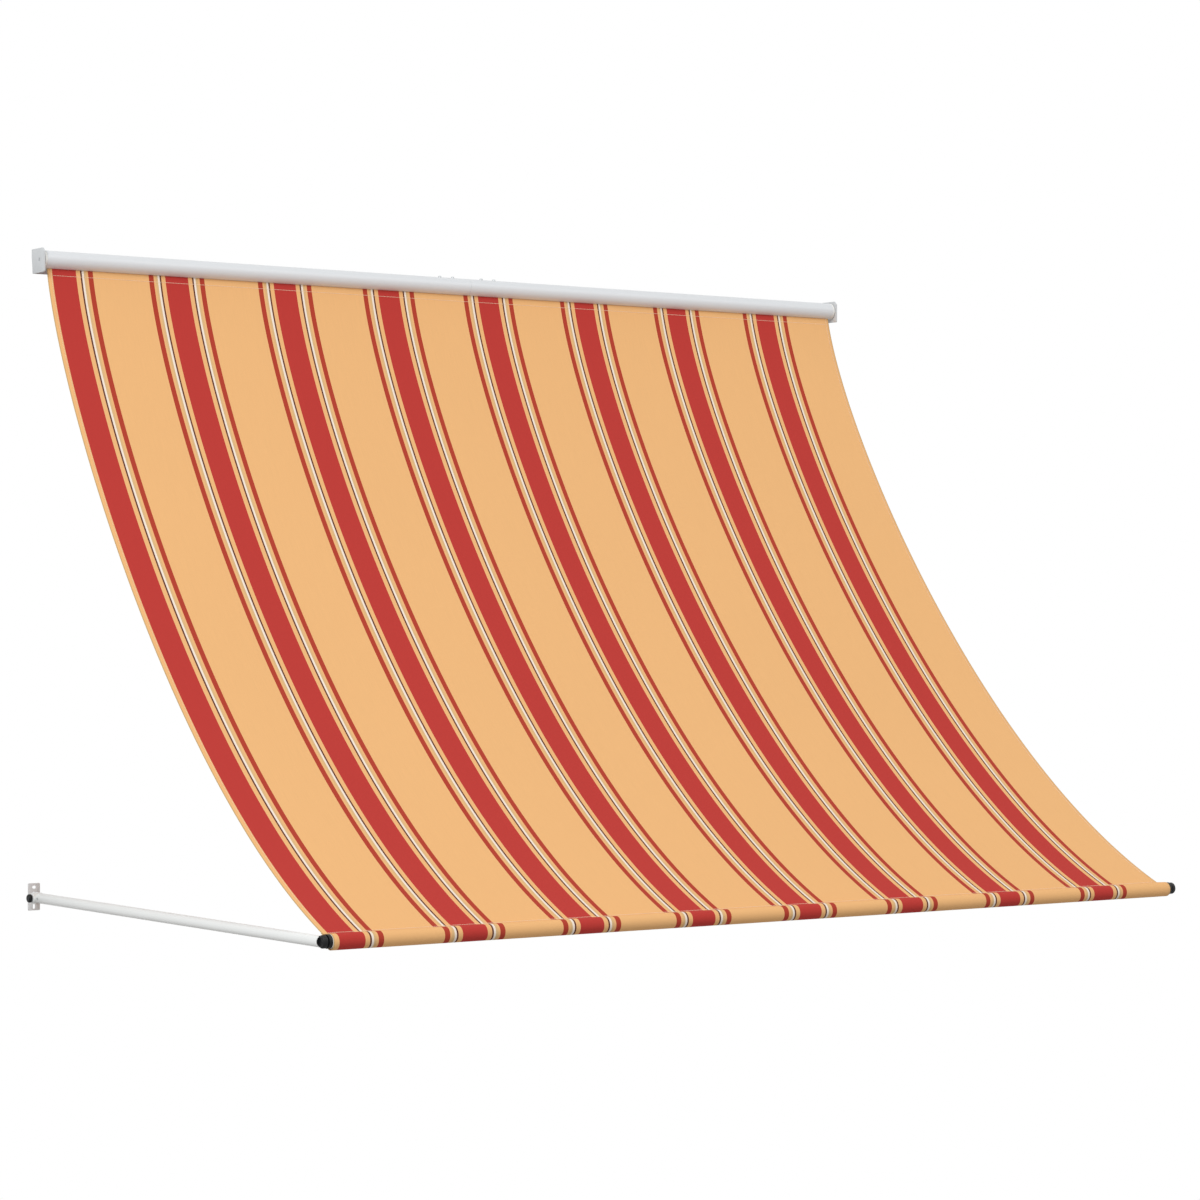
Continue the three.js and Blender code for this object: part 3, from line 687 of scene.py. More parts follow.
def makeClothMaterial(flatWidth, flatLength):
    material, tree, shader = startMaterial("stripedCloth", weave["specular"])
    fill(shader, {"Sheen Weight": weave["sheen"], "Sheen Roughness": weave["sheenRoughness"]})
    clothMap = addNode(tree, "ShaderNodeUVMap", uv_map=cloth["mapName"])
    split = addNode(tree, "ShaderNodeSeparateXYZ")
    feed(tree, clothMap.outputs["UV"], split.inputs[0])
    # metres across from the left edge, and down the fall
    width = calc(tree, "MULTIPLY_ADD", split.outputs["X"], flatWidth, -cloth["hem"])
    fallen = calc(tree, "MULTIPLY", split.outputs["Y"], flatLength)
    colour = stripeColour(tree, width, flatWidth)
    # plain weave: warp and weft threads take turns on top
    pitch = weave["pitch"]
    warp = calc(tree, "SINE", calc(tree, "MULTIPLY", width, math.pi / pitch))
    weft = calc(tree, "SINE", calc(tree, "MULTIPLY", fallen, math.pi / pitch))
    crossing = calc(tree, "MULTIPLY", warp, weft)
    # slubs run along single warp threads
    yarn = addNode(tree, "ShaderNodeCombineXYZ")
    feed(tree, calc(tree, "MULTIPLY", width, weave["slubAcross"]), yarn.inputs["X"])
    feed(tree, calc(tree, "MULTIPLY", fallen, weave["slubAlong"]), yarn.inputs["Y"])
    slub = noiseAboutZero(tree, yarn.outputs[0], 1, detail=2)
    place = addNode(tree, "ShaderNodeTexCoord").outputs["Object"]
    clouds = noiseAboutZero(tree, place, weave["cloudScale"], detail=3)
    tone = calc(tree, "MULTIPLY_ADD", slub, weave["slubTone"], 1)
    tone = calc(tree, "MULTIPLY_ADD", clouds, weave["cloudTone"], tone)
    # painted shade: thread crossings that lie lower are darker, raised ones lighter, following the bump
    tone = calc(tree, "MULTIPLY_ADD", crossing, weave["weaveShadeTone"], tone)
    feed(tree, shadeColour(tree, colour, tone), shader.inputs["Base Color"])
    rough = calc(tree, "MULTIPLY_ADD", slub, weave["roughnessSpread"], weave["roughness"])
    feed(tree, rough, shader.inputs["Roughness"])
    addBump(tree, shader, calc(tree, "ADD", crossing, slub), weave["bump"], weave["bumpDepth"])
    return material


def makeThreadMaterial():
    material, tree, shader = startMaterial("sewingThread", thread["specular"])
    grain = addGrain(tree, thread)
    feed(tree, grain.outputs["Color"], shader.inputs["Base Color"])
    feed(tree, grain.outputs["Roughness"], shader.inputs["Roughness"])
    addBump(tree, shader, grain.outputs["Height"], thread["bump"], thread["bumpDepth"])
    return material


def makeCanopy():
    fall, freeStart, freeEnd = clothFall()

    def lifted(x, along):
        return rippleAt(x, along, freeStart, freeEnd)

    leftHem, inner, rightHem = clothColumns()
    flatWidth = clothHigh.x - clothLow.x + 2 * cloth["hem"]
    flatLength = fall.along[-1]
    topSeam = freeStart + cloth["topSeam"]
    bm = bmesh.new()
    rows = bm.verts.layers.int.new("row")
    flat = bm.verts.layers.float.new("flat")
    weaveSheet(bm, fall, leftHem + inner + rightHem, lifted, len(fall.points))
    # the pocket at the roller: a second layer behind the first, to just below its seam
    pocketRows = [along for along in fall.along if along < topSeam + cloth["pocketPast"]]
    behind = [(x, -layerStep, distance) for x, lift, distance in inner]
    weaveSheet(bm, fall, behind, lifted, len(pocketRows))
    clothMap = bm.loops.layers.uv.new(cloth["mapName"])
    for face in bm.faces:
        for loop in face.loops:
            u = (loop.vert[flat] + cloth["hem"]) / flatWidth
            loop[clothMap].uv = (u, fall.along[loop.vert[rows]] / flatLength)
    bm.verts.layers.int.remove(rows)
    bm.verts.layers.float.remove(bm.verts.layers.float["flat"])
    material = makeClothMaterial(flatWidth, flatLength)
    canopy = placePiece(bm, "canopyCloth", None, material, ["canopy"], crease=math.pi)
    wall = canopy.modifiers.new("thickness", "SOLIDIFY")
    wall.thickness = cloth["thickness"]
    wall.offset = 0

    bm = bmesh.new()
    stitchAcross(bm, fall, topSeam, stitchLift, lifted)
    stitchAcross(bm, fall, topSeam, -layerStep - stitchLift, lifted)
    # the pocket's seam shows on the sheet and under the flap
    stitchAcross(bm, fall, freeEnd - cloth["flapStitch"], stitchLift, lifted)
    stitchAcross(bm, fall, fall.along[-2], stitchLift, lifted)
    for x in (clothLow.x + cloth["hemStitch"], clothHigh.x - cloth["hemStitch"]):
        for lift in (stitchLift, -layerStep - stitchLift):
            stitchDown(bm, fall, x, freeStart, freeEnd - cloth["hemStitchEnd"], lift, lifted)
    stitches = placePiece(bm, "canopyStitches", None, makeThreadMaterial(), crease=math.pi)

    # between the wall and the arms, so that the raised cloth hangs in a loop in front of the wall
    swing = {"start": (clothLow.x, pivotAxis.y - 0.06, pivotAxis.z + 0.3),
             "end": (clothLow.x, barAxis.y + 0.02, pivotAxis.z + 0.2)}
    for piece in (canopy, stitches):
        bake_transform(piece, "wall_mounts", "swing_frame", start=swing["start"], end=swing["end"])
    print("canopy: flat", round(flatWidth, 3), "by", round(flatLength, 3))


makeCanopy()

# Roller: tubes with a bead groove, end plugs, joint screws, shaft and spring
roller = {
    "wall": 0.0012,
    "grooveBore": 0.007,
    "grooveMouth": 0.0026,
    "aroundSteps": 96,
    "grooveSteps": 20,
    "clearance": 0.0003,
    "ringLength": 0.0055,
    "keywayStart": 0.001,  # behind the ring
    "plugBore": 0.0054,
    "washerBore": 0.0053,
    "shaftSquare": 0.0042,  # length in the bracket
    "pinDimple": 0.0014,
    "plugEdge": 0.0007,
    "washerEdge": 0.0003,
    "shaftEdge": 0.0006,
    "tenonEdge": 0.0005,
    "rodEdge": 0.0005,
    "spring": {"wire": 0.0022, "diameter": 0.017, "turns": 18, "stepsPerTurn": 24},
}

grooveRun = outward * math.cos(cloth["grooveTurn"]) + upward * math.sin(cloth["grooveTurn"])
grooveHalf = math.asin(roller["grooveMouth"] / roller["grooveBore"])
grooveDepth = rollerRadius - roller["wall"] - roller["grooveBore"] / 2 * math.cos(grooveHalf)
sleeveRadius = rollerRadius - roller["wall"] - roller["clearance"]


def turnedGroove(angle):
    return Matrix.Rotation(angle, 3, across) @ grooveRun


# Draws an arc from a point and returns the arc's end
def drawArc(bm, vert, centre, axis, angle, steps):
    made = bmesh.ops.spin(bm, geom=[vert], cent=centre, axis=axis, angle=angle, steps=steps)
    return vertsIn(made["geom_last"])[0]


def makeRollerTube(side):
    node = nodeOn(side, "roller_tube")
    low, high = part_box(node)
    centre = axisPoint(rollerAxis, low.x)
    mouth = math.asin(roller["grooveMouth"] / (2 * rollerRadius))
    bm = bmesh.new()
    first = bm.verts.new(centre + turnedGroove(mouth) * rollerRadius)
    lip = drawArc(bm, first, centre, across, 2 * math.pi - 2 * mouth, roller["aroundSteps"])
    seat = centre + grooveRun * grooveDepth
    inner = bm.verts.new(seat + turnedGroove(-grooveHalf) * (roller["grooveBore"] / 2))
    bm.edges.new((lip, inner))
    last = drawArc(bm, inner, seat, -across, 2 * math.pi - 2 * grooveHalf, roller["grooveSteps"])
    bm.edges.new((last, first))
    made = bmesh.ops.extrude_edge_only(bm, edges=bm.edges[:])["geom"]
    bmesh.ops.translate(bm, verts=vertsIn(made), vec=(high.x - low.x, 0, 0))
    bmesh.ops.recalc_face_normals(bm, faces=bm.faces)
    thicken(bm, roller["wall"])
    placeFor(node, bm, "roller", "rollerPaint")


# The room that the groove takes inside the tube
def keyway(near, far):
    bm = bmesh.new()
    half = roller["grooveBore"] / 2 + roller["wall"] + roller["clearance"]
    addBlock(bm, (near, -half, grooveDepth - half), (far, half, 2 * rollerRadius))
    turn = upward.rotation_difference(grooveRun).to_matrix()
    bmesh.ops.rotate(bm, verts=bm.verts, cent=(0, 0, 0), matrix=turn)
    bmesh.ops.translate(bm, verts=bm.verts, vec=axisPoint(rollerAxis, 0))
    return bm


def makeRollerPlug(side):
    node = nodeOn(side, "roller_plug")
    length, ring, bore = roundSize(node)[1], roller["ringLength"], roller["plugBore"]
    end = outerEnd(node, side)
    bm = bmesh.new()
    profile = [(0, bore), (0, rollerRadius), (ring, rollerRadius), (ring, sleeveRadius),
               (length, sleeveRadius), (length, bore)]
    spinProfile(bm, axisPoint(rollerAxis, end), side["inward"], profile, steps=64)
    softenEdges(bm, roller["plugEdge"], segments=3)
    near = end + side["inward"].x * (ring + roller["keywayStart"])
    combine(bm, keyway(near, end + side["inward"].x * (length + through)), "DIFFERENCE")
    placeFor(node, bm, "roller", "whitePlastic")


def makeThrustWasher(side):
    node = nodeOn(side, "thrust_washer")
    radius, thickness = roundSize(node)
    profile = rodProfile(thickness, radius, roller["washerBore"])
    makeTurned(node, rollerAxis, profile, "wall_mounts", "whitePlastic", steps=40, edge=roller["washerEdge"])


def makeSpringShaft():
    radius, length = roundSize("spring_shaft")
    start = axisPoint(rollerAxis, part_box("spring_shaft")[0].x)
    square = roller["shaftSquare"]
    bm = bmesh.new()
    profile = [(square, 0), (square, radius), (length, radius), (length, 0)]
    spinProfile(bm, start, across, profile, steps=40)
    softenEdges(bm, roller["shaftEdge"])
    half = radius / math.sqrt(2)
    overlap = 0.002  # of the square and the round part
    tenon = bmesh.new()
    addBlock(tenon, start + Vector((0, -half, -half)), start + Vector((square + overlap, half, half)))
    softenEdges(tenon, roller["tenonEdge"])
    combine(bm, tenon, "UNION")
    placeFor("spring_shaft", bm, "wall_mounts", "zinc")


def makeIdlerPin():
    radius, length = roundSize("idler_pin")
    dimple = roller["pinDimple"]  # left from turning it
    profile = [(0, 0), (0, radius), (length, radius), (length, dimple), (length - dimple, 0)]
    makeTurned("idler_pin", rollerAxis, profile, "wall_mounts", "zinc", steps=40, edge=roller["shaftEdge"])


def makeBeadRod():
    radius, length = roundSize("bead_rod")
    makeTurned("bead_rod", middleOf("bead_rod"), rodProfile(length, radius), "roller", "whitePlastic",
               steps=20, edge=roller["rodEdge"])


def makeSpring():
    low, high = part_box("torsion_spring")
    look = roller["spring"]
    start = axisPoint(rollerAxis, low.x + look["wire"] / 2)
    steps = look["turns"] * look["stepsPerTurn"]
    advance = (high.x - low.x - look["wire"]) / steps
    bm = bmesh.new()
    place = Matrix.Translation(start + upward * look["diameter"] / 2) @ Matrix.Rotation(math.pi / 2, 4, "X")
    ring = bmesh.ops.create_circle(bm, cap_ends=False, segments=8, radius=look["wire"] / 2, matrix=place)
    bmesh.ops.spin(bm, geom=ring["verts"] + bm.edges[:], cent=start, axis=across, dvec=across * advance,
                   angle=2 * math.pi * look["turns"], steps=steps)
    bmesh.ops.holes_fill(bm, edges=bm.edges, sides=8)
    bmesh.ops.recalc_face_normals(bm, faces=bm.faces)
    placeFor("torsion_spring", bm, "roller", "springSteel", crease=1.2)


# Pan-head screws through the roller's joint
jointScrew = {"headRadius": 0.00425, "shankRadius": 0.002, "tip": 0.0006,
              "headHeight": 0.0039,  # the rim reaches down to the tube
              "rim": 0.0016,
              "dome": [(0.0010, 0.83), (0.0003, 0.5)],  # (below the top, share of the head's radius)
              "recess": (0.0044, 0.0010, 0.0016)}


def makeJointScrew(node):
    low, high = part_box(node)
    middle = (low + high) / 2
    base = Vector((middle.x, middle.y, low.z))
    head, shank, tall = jointScrew["headRadius"], jointScrew["shankRadius"], high.z - low.z
    bm = bmesh.new()
    seat = tall - jointScrew["headHeight"]
    profile = [(0, 0), (jointScrew["tip"], shank), (seat, shank), (seat, head),
               (seat + jointScrew["rim"], head)]
    profile += [(tall - drop, head * share) for drop, share in jointScrew["dome"]]
    profile.append((tall, 0))
    spinProfile(bm, base, upward, profile, steps=28)
    # cross recess
    length, width, depth = jointScrew["recess"]
    top = Vector((middle.x, middle.y, high.z))
    for corner in (Vector((length / 2, width / 2, depth)), Vector((width / 2, length / 2, depth))):
        cutBlock(bm, top - corner, top + corner)
    placeFor(node, bm, "roller", "zinc")


for side in sides:
    makeRollerTube(side)
    makeRollerPlug(side)
    makeThrustWasher(side)
    for number in ("1", "2"):
        makeJointScrew("joint_screw_" + side["name"] + "_" + number)
makeSpringShaft()
makeIdlerPin()
makeBeadRod()
makeSpring()
print("roller done")

# Wall brackets of bent sheet
bracket = {
    "sheet": 0.004,
    "bend": 0.006,  # outside radius
    "flangeTop": 0.020,
    "noseChamfer": 0.009,
    "heelChamfer": 0.0015,
    "toeRadius": 0.004,
    "screwHole": 0.0065,
    "screwRise": 0.011,  # holes above and below the roller's middle line on the flange
    "screwSet": 0.022,  # from the outer face
    "squareHole": 0.0076,
    "pinHole": 0.0106,
    "edge": 0.0005,
}


def makeBracket(side):
    node = nodeOn(side, "roller_bracket")
    low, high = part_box(node)
    inward = side["inward"]
    outer = outerEnd(node, side)
    flangeEnd = outer + inward.x * (high.x - low.x)
    depth, top, bottom, flangeTop = -low.y, high.z, low.z, bracket["flangeTop"]
    nose, heel = bracket["noseChamfer"], bracket["heelChamfer"]
    bm = bmesh.new()

    def corner(x, out, z):
        return bm.verts.new((x, -out, z))

    bendLow, bendHigh = corner(outer, 0, bottom), corner(outer, 0, flangeTop)
    toe = corner(outer, depth, bottom)
    plate = bm.faces.new([bendLow, toe, corner(outer, depth, top - nose), corner(outer, depth - nose, top),
                          corner(outer, heel, top), corner(outer, 0, top - heel), bendHigh])
    flange = bm.faces.new([bendHigh, corner(flangeEnd, 0, flangeTop), corner(flangeEnd, 0, bottom), bendLow])
    if side["name"] == "right":
        bmesh.ops.reverse_faces(bm, faces=[plate, flange])
    bend = bm.edges.get((bendLow, bendHigh))
    bmesh.ops.bevel(bm, geom=[bend], offset=bracket["bend"], offset_type="OFFSET", affect="EDGES",
                    segments=6, profile=0.5, material=-1)
    corners = [vert for vert in bm.verts if abs(vert.co.y + depth) < 1e-6 and abs(vert.co.z - bottom) < 1e-6]
    roundCorners(bm, corners, bracket["toeRadius"], segments=8)
    thicken(bm, bracket["sheet"])
    softenEdges(bm, bracket["edge"], sharpest=1.0)
    for vert in bm.verts:  # the soft edges stay inside the sheet's outer faces
        vert.co = [min(max(value, least), most) for value, least, most in zip(vert.co, low, high)]
    holes = bmesh.new()
    for rise in (-bracket["screwRise"], bracket["screwRise"]):
        spot = Vector((outer + inward.x * bracket["screwSet"], 0, rise))
        addRod(holes, spot - outward * through, spot + outward * through, bracket["screwHole"] / 2)
    # the fixed shaft sits in a square hole, the pin in a round one
    seat = axisPoint(rollerAxis, outer)
    if side["name"] == "left":
        half = bracket["squareHole"] / 2
        addBlock(holes, seat - Vector((through, half, half)), seat + Vector((through, half, half)))
    else:
        addRod(holes, seat - across * through, seat + across * through, bracket["pinHole"] / 2)
    combine(bm, holes, "DIFFERENCE")
    placeFor(node, bm, "wall_mounts", "greyPaint")


# Arm plates with a welded lug
armPlate = {
    "thickness": 0.003,
    "corner": 0.0025,
    "slotRise": 0.023,
    "upperSlot": (0.010, 0.0075),
    "lowerSlot": (0.006, 0.012),
    "lugThickness": 0.004,
    "lugRadius": 0.012,
    "lugRoot": 0.001,  # inside the plate
    "bolt": 0.0084,
    "weld": 0.0022,
    "weldShare": 0.9,  # of the lug's height
    "edge": 0.0005,
    "lugEdge": 0.0004,
    "weldEdge": 0.0008,
}


def flatPlate(bm, corners, rounded, radius, segments):
    verts = [bm.verts.new(corner) for corner in corners]
    bm.faces.new(verts)
    roundCorners(bm, [verts[index] for index in rounded], radius, segments)


def makeArmPlate(side):
    node = nodeOn(side, "arm_plate")
    low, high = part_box(node)
    middle = (low + high) / 2
    z = middle.z
    bm = bmesh.new()
    flatPlate(bm, [(low.x, 0, low.z), (low.x, 0, high.z), (high.x, 0, high.z), (high.x, 0, low.z)],
              range(4), armPlate["corner"], segments=5)
    thicken(bm, armPlate["thickness"])
    softenEdges(bm, armPlate["edge"], sharpest=1.0)
    for rise, (wide, tall) in ((armPlate["slotRise"], armPlate["upperSlot"]),
                               (-armPlate["slotRise"], armPlate["lowerSlot"])):
        slot = bmesh.new()
        w, h = wide / 2, tall / 2
        spot = Vector((middle.x, through, z + rise))
        offsets = ((-w, 0, -h), (-w, 0, h), (w, 0, h), (w, 0, -h))
        flatPlate(slot, [spot + Vector(offset) for offset in offsets], range(4), min(w, h), segments=8)
        thicken(slot, 2 * through)
        bmesh.ops.recalc_face_normals(slot, faces=slot.faces)
        combine(bm, slot, "DIFFERENCE")
    # the lug stands on the plate and carries the pivot bolt
    lugX = middle.x
    half, radius = armPlate["lugThickness"] / 2, armPlate["lugRadius"]
    root, tip = -armPlate["lugRoot"], pivotAxis.y - radius
    lug = bmesh.new()
    flatPlate(lug, [(lugX - half, root, z - radius), (lugX - half, tip, z - radius),
                    (lugX - half, tip, z + radius), (lugX - half, root, z + radius)],
              (1, 2), radius, segments=12)
    lug.normal_update()
    if lug.faces[:][0].normal.x > 0:
        bmesh.ops.reverse_faces(lug, faces=lug.faces)
    thicken(lug, armPlate["lugThickness"])
    softenEdges(lug, armPlate["lugEdge"], sharpest=1.0)
    combine(bm, lug, "UNION")
    for edge in (-half, half):
        weld = bmesh.new()
        foot = Vector((lugX + edge, -armPlate["thickness"], z))
        reach = upward * radius * armPlate["weldShare"]
        addRod(weld, foot - reach, foot + reach, armPlate["weld"], segments=16)
        softenEdges(weld, armPlate["weldEdge"], sharpest=0.8)
        combine(bm, weld, "UNION")
    cutRod(bm, axisPoint(pivotAxis, lugX - through), axisPoint(pivotAxis, lugX + through),
           armPlate["bolt"] / 2)
    # nothing stands behind the wall face
    cutBlock(bm, (low.x - through, 0, low.z - through), (high.x + through, through, high.z + through))
    # the lighter copy of the grey paint, painted light against the cloth's shadow
    placeFor(node, bm, "wall_mounts", "brightenedPlatePaint")


# Pivot: bolt through lug and knuckle, nut inside, washer and black cap outside
pivot = {
    "boltRadius": 0.004,
    "boltHole": 0.0043,
    "shankStart": 0.001,  # inside the head
    "headHeight": 0.0055,
    "headRadius": 0.0064,
    "headEdge": 0.0004,
    "threadPitch": 0.00125,
    "threadLength": 0.011,
    "threadDepth": 0.0006,
    "nutFlats": 0.013,
    "nutHole": 0.0042,
    "nutFace": 0.97,  # share of the flats left at each end
    "nutSlope": 0.7,
    "washerEdge": 0.0003,
    "capWall": 0.0026,
    "capEdge": 0.0002,
    # crown and rounded rim, as (depth, share of the radius)
    "capCrown": [(0.0004, 0), (0.0004, 0.38), (0, 0.44), (0, 0.60), (0.0004, 0.75), (0.0010, 0.86),
                 (0.0020, 0.94), (0.0034, 1)],
}


def makePivotBolt(side):
    node = nodeOn(side, "pivot_bolt")
    start = axisPoint(pivotAxis, outerEnd(node, side))
    length, radius = roundSize(node)[1], pivot["boltRadius"]
    inward = side["inward"]
    bm = bmesh.new()
    threadStart = length - pivot["threadLength"]
    profile = [(pivot["shankStart"], 0), (pivot["shankStart"], radius), (threadStart, radius)]
    turns = int(pivot["threadLength"] / pivot["threadPitch"])
    for turn in range(turns):
        root = threadStart + (turn + 0.5) * pivot["threadPitch"]
        profile += [(root, radius - pivot["threadDepth"]), (root + pivot["threadPitch"] / 2, radius)]
    profile += [(length, radius - pivot["threadDepth"]), (length, 0)]
    spinProfile(bm, start, inward, profile, steps=32)
    head = bmesh.new()
    addRod(head, start, start + inward * pivot["headHeight"], pivot["headRadius"], segments=6)
    softenEdges(head, pivot["headEdge"])
    combine(bm, head, "UNION")
    placeFor(node, bm, "wall_mounts", "zinc")


def makePivotNut(side):
    node = nodeOn(side, "pivot_nut")
    tall, inner = roundSize(node)[1], pivot["nutFlats"] / 2
    corner = inner / math.cos(math.pi / 6)
    start = axisPoint(pivotAxis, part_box(node)[0].x)
    bm = bmesh.new()
    addRod(bm, start, start + across * tall, corner, segments=6)
    # its corners are turned off at both ends
    turned = bmesh.new()
    face, slope = inner * pivot["nutFace"], (corner - inner) * pivot["nutSlope"]
    clear = corner * 1.01
    profile = [(0, 0), (0, face), (slope, clear), (tall - slope, clear), (tall, face), (tall, 0)]
    spinProfile(turned, start, across, profile, steps=48)
    combine(bm, turned, "INTERSECT")
    cutRod(bm, start - across * through, start + across * through, pivot["nutHole"])
    placeFor(node, bm, "wall_mounts", "zinc", crease=0.4)


def makePivotWasher(side):
    node = nodeOn(side, "pivot_washer")
    radius, thickness = roundSize(node)
    profile = rodProfile(thickness, radius, pivot["boltHole"])
    makeTurned(node, pivotAxis, profile, "wall_mounts", "zinc", steps=40, edge=pivot["washerEdge"])


def makePivotCap(side):
    node = nodeOn(side, "pivot_cap")
    radius, tall = roundSize(node)
    wall = pivot["capWall"]
    bm = bmesh.new()
    # from the middle of its crown, over the rim and back into the hollow
    profile = [(depth, radius * share) for depth, share in pivot["capCrown"]]
    profile += [(tall, radius), (tall, radius - wall), (wall, radius - wall), (wall, 0)]
    spinProfile(bm, axisPoint(pivotAxis, outerEnd(node, side)), side["inward"], profile, steps=48)
    softenEdges(bm, pivot["capEdge"], segments=1, sharpest=0.9)
    placeFor(node, bm, "wall_mounts", "blackPlastic")


for side in sides:
    makeBracket(side)
    makeArmPlate(side)
    makePivotBolt(side)
    makePivotNut(side)
    makePivotWasher(side)
    makePivotCap(side)
print("wall side done")

# Arms: knuckle on the pivot, tube, rivet, and the black end piece that carries the bar
arm = {
    "knuckleRadius": 0.012,
    "knuckleLength": 0.022,
    "neckHeight": 0.018,
    "neckStart": 0.007,  # in front of the pivot's middle line
    "neckOverlap": 0.0004,  # with the collar's face
    "neckPast": 0.009,  # beyond the arm's middle line
    "collar": (0.0124, 0.0140),  # from the pivot's middle line
    "spigotRadius": 0.01075,
    "wall": 0.0012,
    "bossRadius": 0.014,
    "bossLength": 0.011,
    # outer face with a dimple and a ring, as (depth, radius), and its rounded rim, as (depth, step in)
    "bossFace": [(0.0010, 0), (0.0010, 0.0022), (0.0004, 0.0030), (0.0004, 0.0066), (0.0010, 0.0072),
                 (0.0010, 0.0084), (0, 0.0090)],
    "bossRim": [(0, 0.0040), (0.0008, 0.0022), (0.0022, 0.0006), (0.0036, 0)],
    "bossEdge": 0.0008,
    "stemEnd": 0.0075,  # behind the bar's axis
    "axleBore": (0.0054, 0.0089),  # radius and depth
    "barRoom": 0.0154,  # kept free round the turning bar end
    "cope": 0.006,  # end of the tube behind the bar's axis, on its outer side
    "copeGap": 0.0003,
    "knuckleEdge": 0.0012,
    "neckEdge": 0.0015,
    "spigotEdge": 0.0005,
    "stemEdge": 0.0004,
    "tubeEdge": 0.00035,
    "rivetShank": 0.002,
    # domed head, as (depth, share of the head's radius)
    "rivetHead": [(0.0001, 0.35), (0.0005, 0.75), (0.0011, 1), (0.0018, 1)],
}


def makeKnuckle(side):
    node = nodeOn(side, "arm_knuckle")
    low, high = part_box(node)
    inward = side["inward"]
    armX = middleOf(nodeOn(side, "arm_tube")).x
    outer = outerEnd(node, side)
    length = arm["knuckleLength"]
    bm = bmesh.new()
    profile = rodProfile(length, arm["knuckleRadius"], pivot["boltHole"])
    spinProfile(bm, axisPoint(pivotAxis, outer), inward, profile, steps=48)
    softenEdges(bm, arm["knuckleEdge"], segments=3)
    # neck and spigot
    collarStart, collarEnd = arm["collar"]
    half = arm["neckHeight"] / 2
    neck = bmesh.new()
    addBlock(neck, (outer + inward.x * length, pivotAxis.y - arm["neckStart"], pivotAxis.z - half),
             (armX - inward.x * arm["neckPast"], pivotAxis.y - collarEnd + arm["neckOverlap"],
              pivotAxis.z + half))
    softenEdges(neck, arm["neckEdge"], segments=3)
    combine(bm, neck, "UNION")
    spigot = bmesh.new()
    collarRadius, reach = (high.z - low.z) / 2, pivotAxis.y - low.y
    profile = [(collarStart, 0), (collarStart, collarRadius), (collarEnd, collarRadius),
               (collarEnd, arm["spigotRadius"]), (reach, arm["spigotRadius"]), (reach, 0)]
    spinProfile(spigot, axisPoint(pivotAxis, armX), outward, profile, steps=48)
    softenEdges(spigot, arm["spigotEdge"])
    combine(bm, spigot, "UNION")
    placeFor(node, bm, "swing_frame", "whitePaint")


def makeRivet(side):
    node = nodeOn(side, "arm_rivet")
    head, length = roundSize(node)
    shank = arm["rivetShank"]
    profile = [(0, 0)] + [(depth, head * share) for depth, share in arm["rivetHead"]]
    profile += [(profile[-1][0], shank), (length, shank), (length, 0)]
    makeTurned(node, middleOf(node), profile, "swing_frame", "zinc", steps=28, side=side)


# The bar's end turns beside the elbow's boss
def clearBarEnd(bm, side):
    inward = side["inward"].x
    face = middleOf(nodeOn(side, "arm_tube")).x + inward * arm["bossLength"] / 2
    room = Vector((0, arm["barRoom"], arm["barRoom"]))
    cutBlock(bm, axisPoint(barAxis, face) - room, axisPoint(barAxis, face + inward * through) + room)


# The outer side of the tube runs on beside the boss
def makeArmTube(side):
    node = nodeOn(side, "arm_tube")
    low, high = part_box(node)
    middle = (low + high) / 2
    radius = (high.z - low.z) / 2
    bm = bmesh.new()
    profile = rodProfile(high.y - barAxis.y - arm["cope"], radius, radius - arm["wall"])
    spinProfile(bm, Vector((middle.x, high.y, middle.z)), outward, profile, steps=64)
    softenEdges(bm, arm["tubeEdge"])
    clearBarEnd(bm, side)
    half = side["inward"] * (arm["bossLength"] / 2 + arm["copeGap"])
    seat = axisPoint(barAxis, middle.x)
    cutRod(bm, seat - half, seat + half, arm["bossRadius"] + arm["copeGap"], segments=64)
    placeFor(node, bm, "swing_frame", "whitePaint")


def makeElbow(side):
    node = nodeOn(side, "bar_elbow")
    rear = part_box(node)[1].y
    inward = side["inward"]
    armX = middleOf(nodeOn(side, "arm_tube")).x
    radius, length = arm["bossRadius"], arm["bossLength"]
    bore, boreDepth = arm["axleBore"]
    outer = armX - inward.x * length / 2
    bm = bmesh.new()
    # from the middle of the face over the rim to the blind bore for the axle
    edge = arm["bossEdge"]
    profile = arm["bossFace"] + [(depth, radius - step) for depth, step in arm["bossRim"]]
    profile += [(length - edge, radius), (length, radius - edge), (length, bore), (length - boreDepth, bore),
                (length - boreDepth, 0)]
    spinProfile(bm, axisPoint(barAxis, outer), inward, profile, steps=56)
    stem = bmesh.new()
    start = Vector((armX, rear, barAxis.z))
    reach = rear - barAxis.y - arm["stemEnd"]
    spinProfile(stem, start, outward, rodProfile(reach, arm["spigotRadius"]), steps=56)
    softenEdges(stem, arm["stemEdge"])
    combine(bm, stem, "UNION")
    clearBarEnd(bm, side)
    placeFor(node, bm, "swing_frame", "blackPlastic")


# Front bar: two halves on a sleeve, with a black plug and axle at each end
barPlug = {"flange": 0.008, "axle": 0.011, "axleRadius": 0.005, "spigotRadius": 0.0135, "edge": 0.0005,
           # stepped outer face of the flange, as (depth, radius)
           "face": [(-0.0002, 0.0085), (0.0012, 0.0092), (0.0012, 0.0122), (0, 0.0128)]}


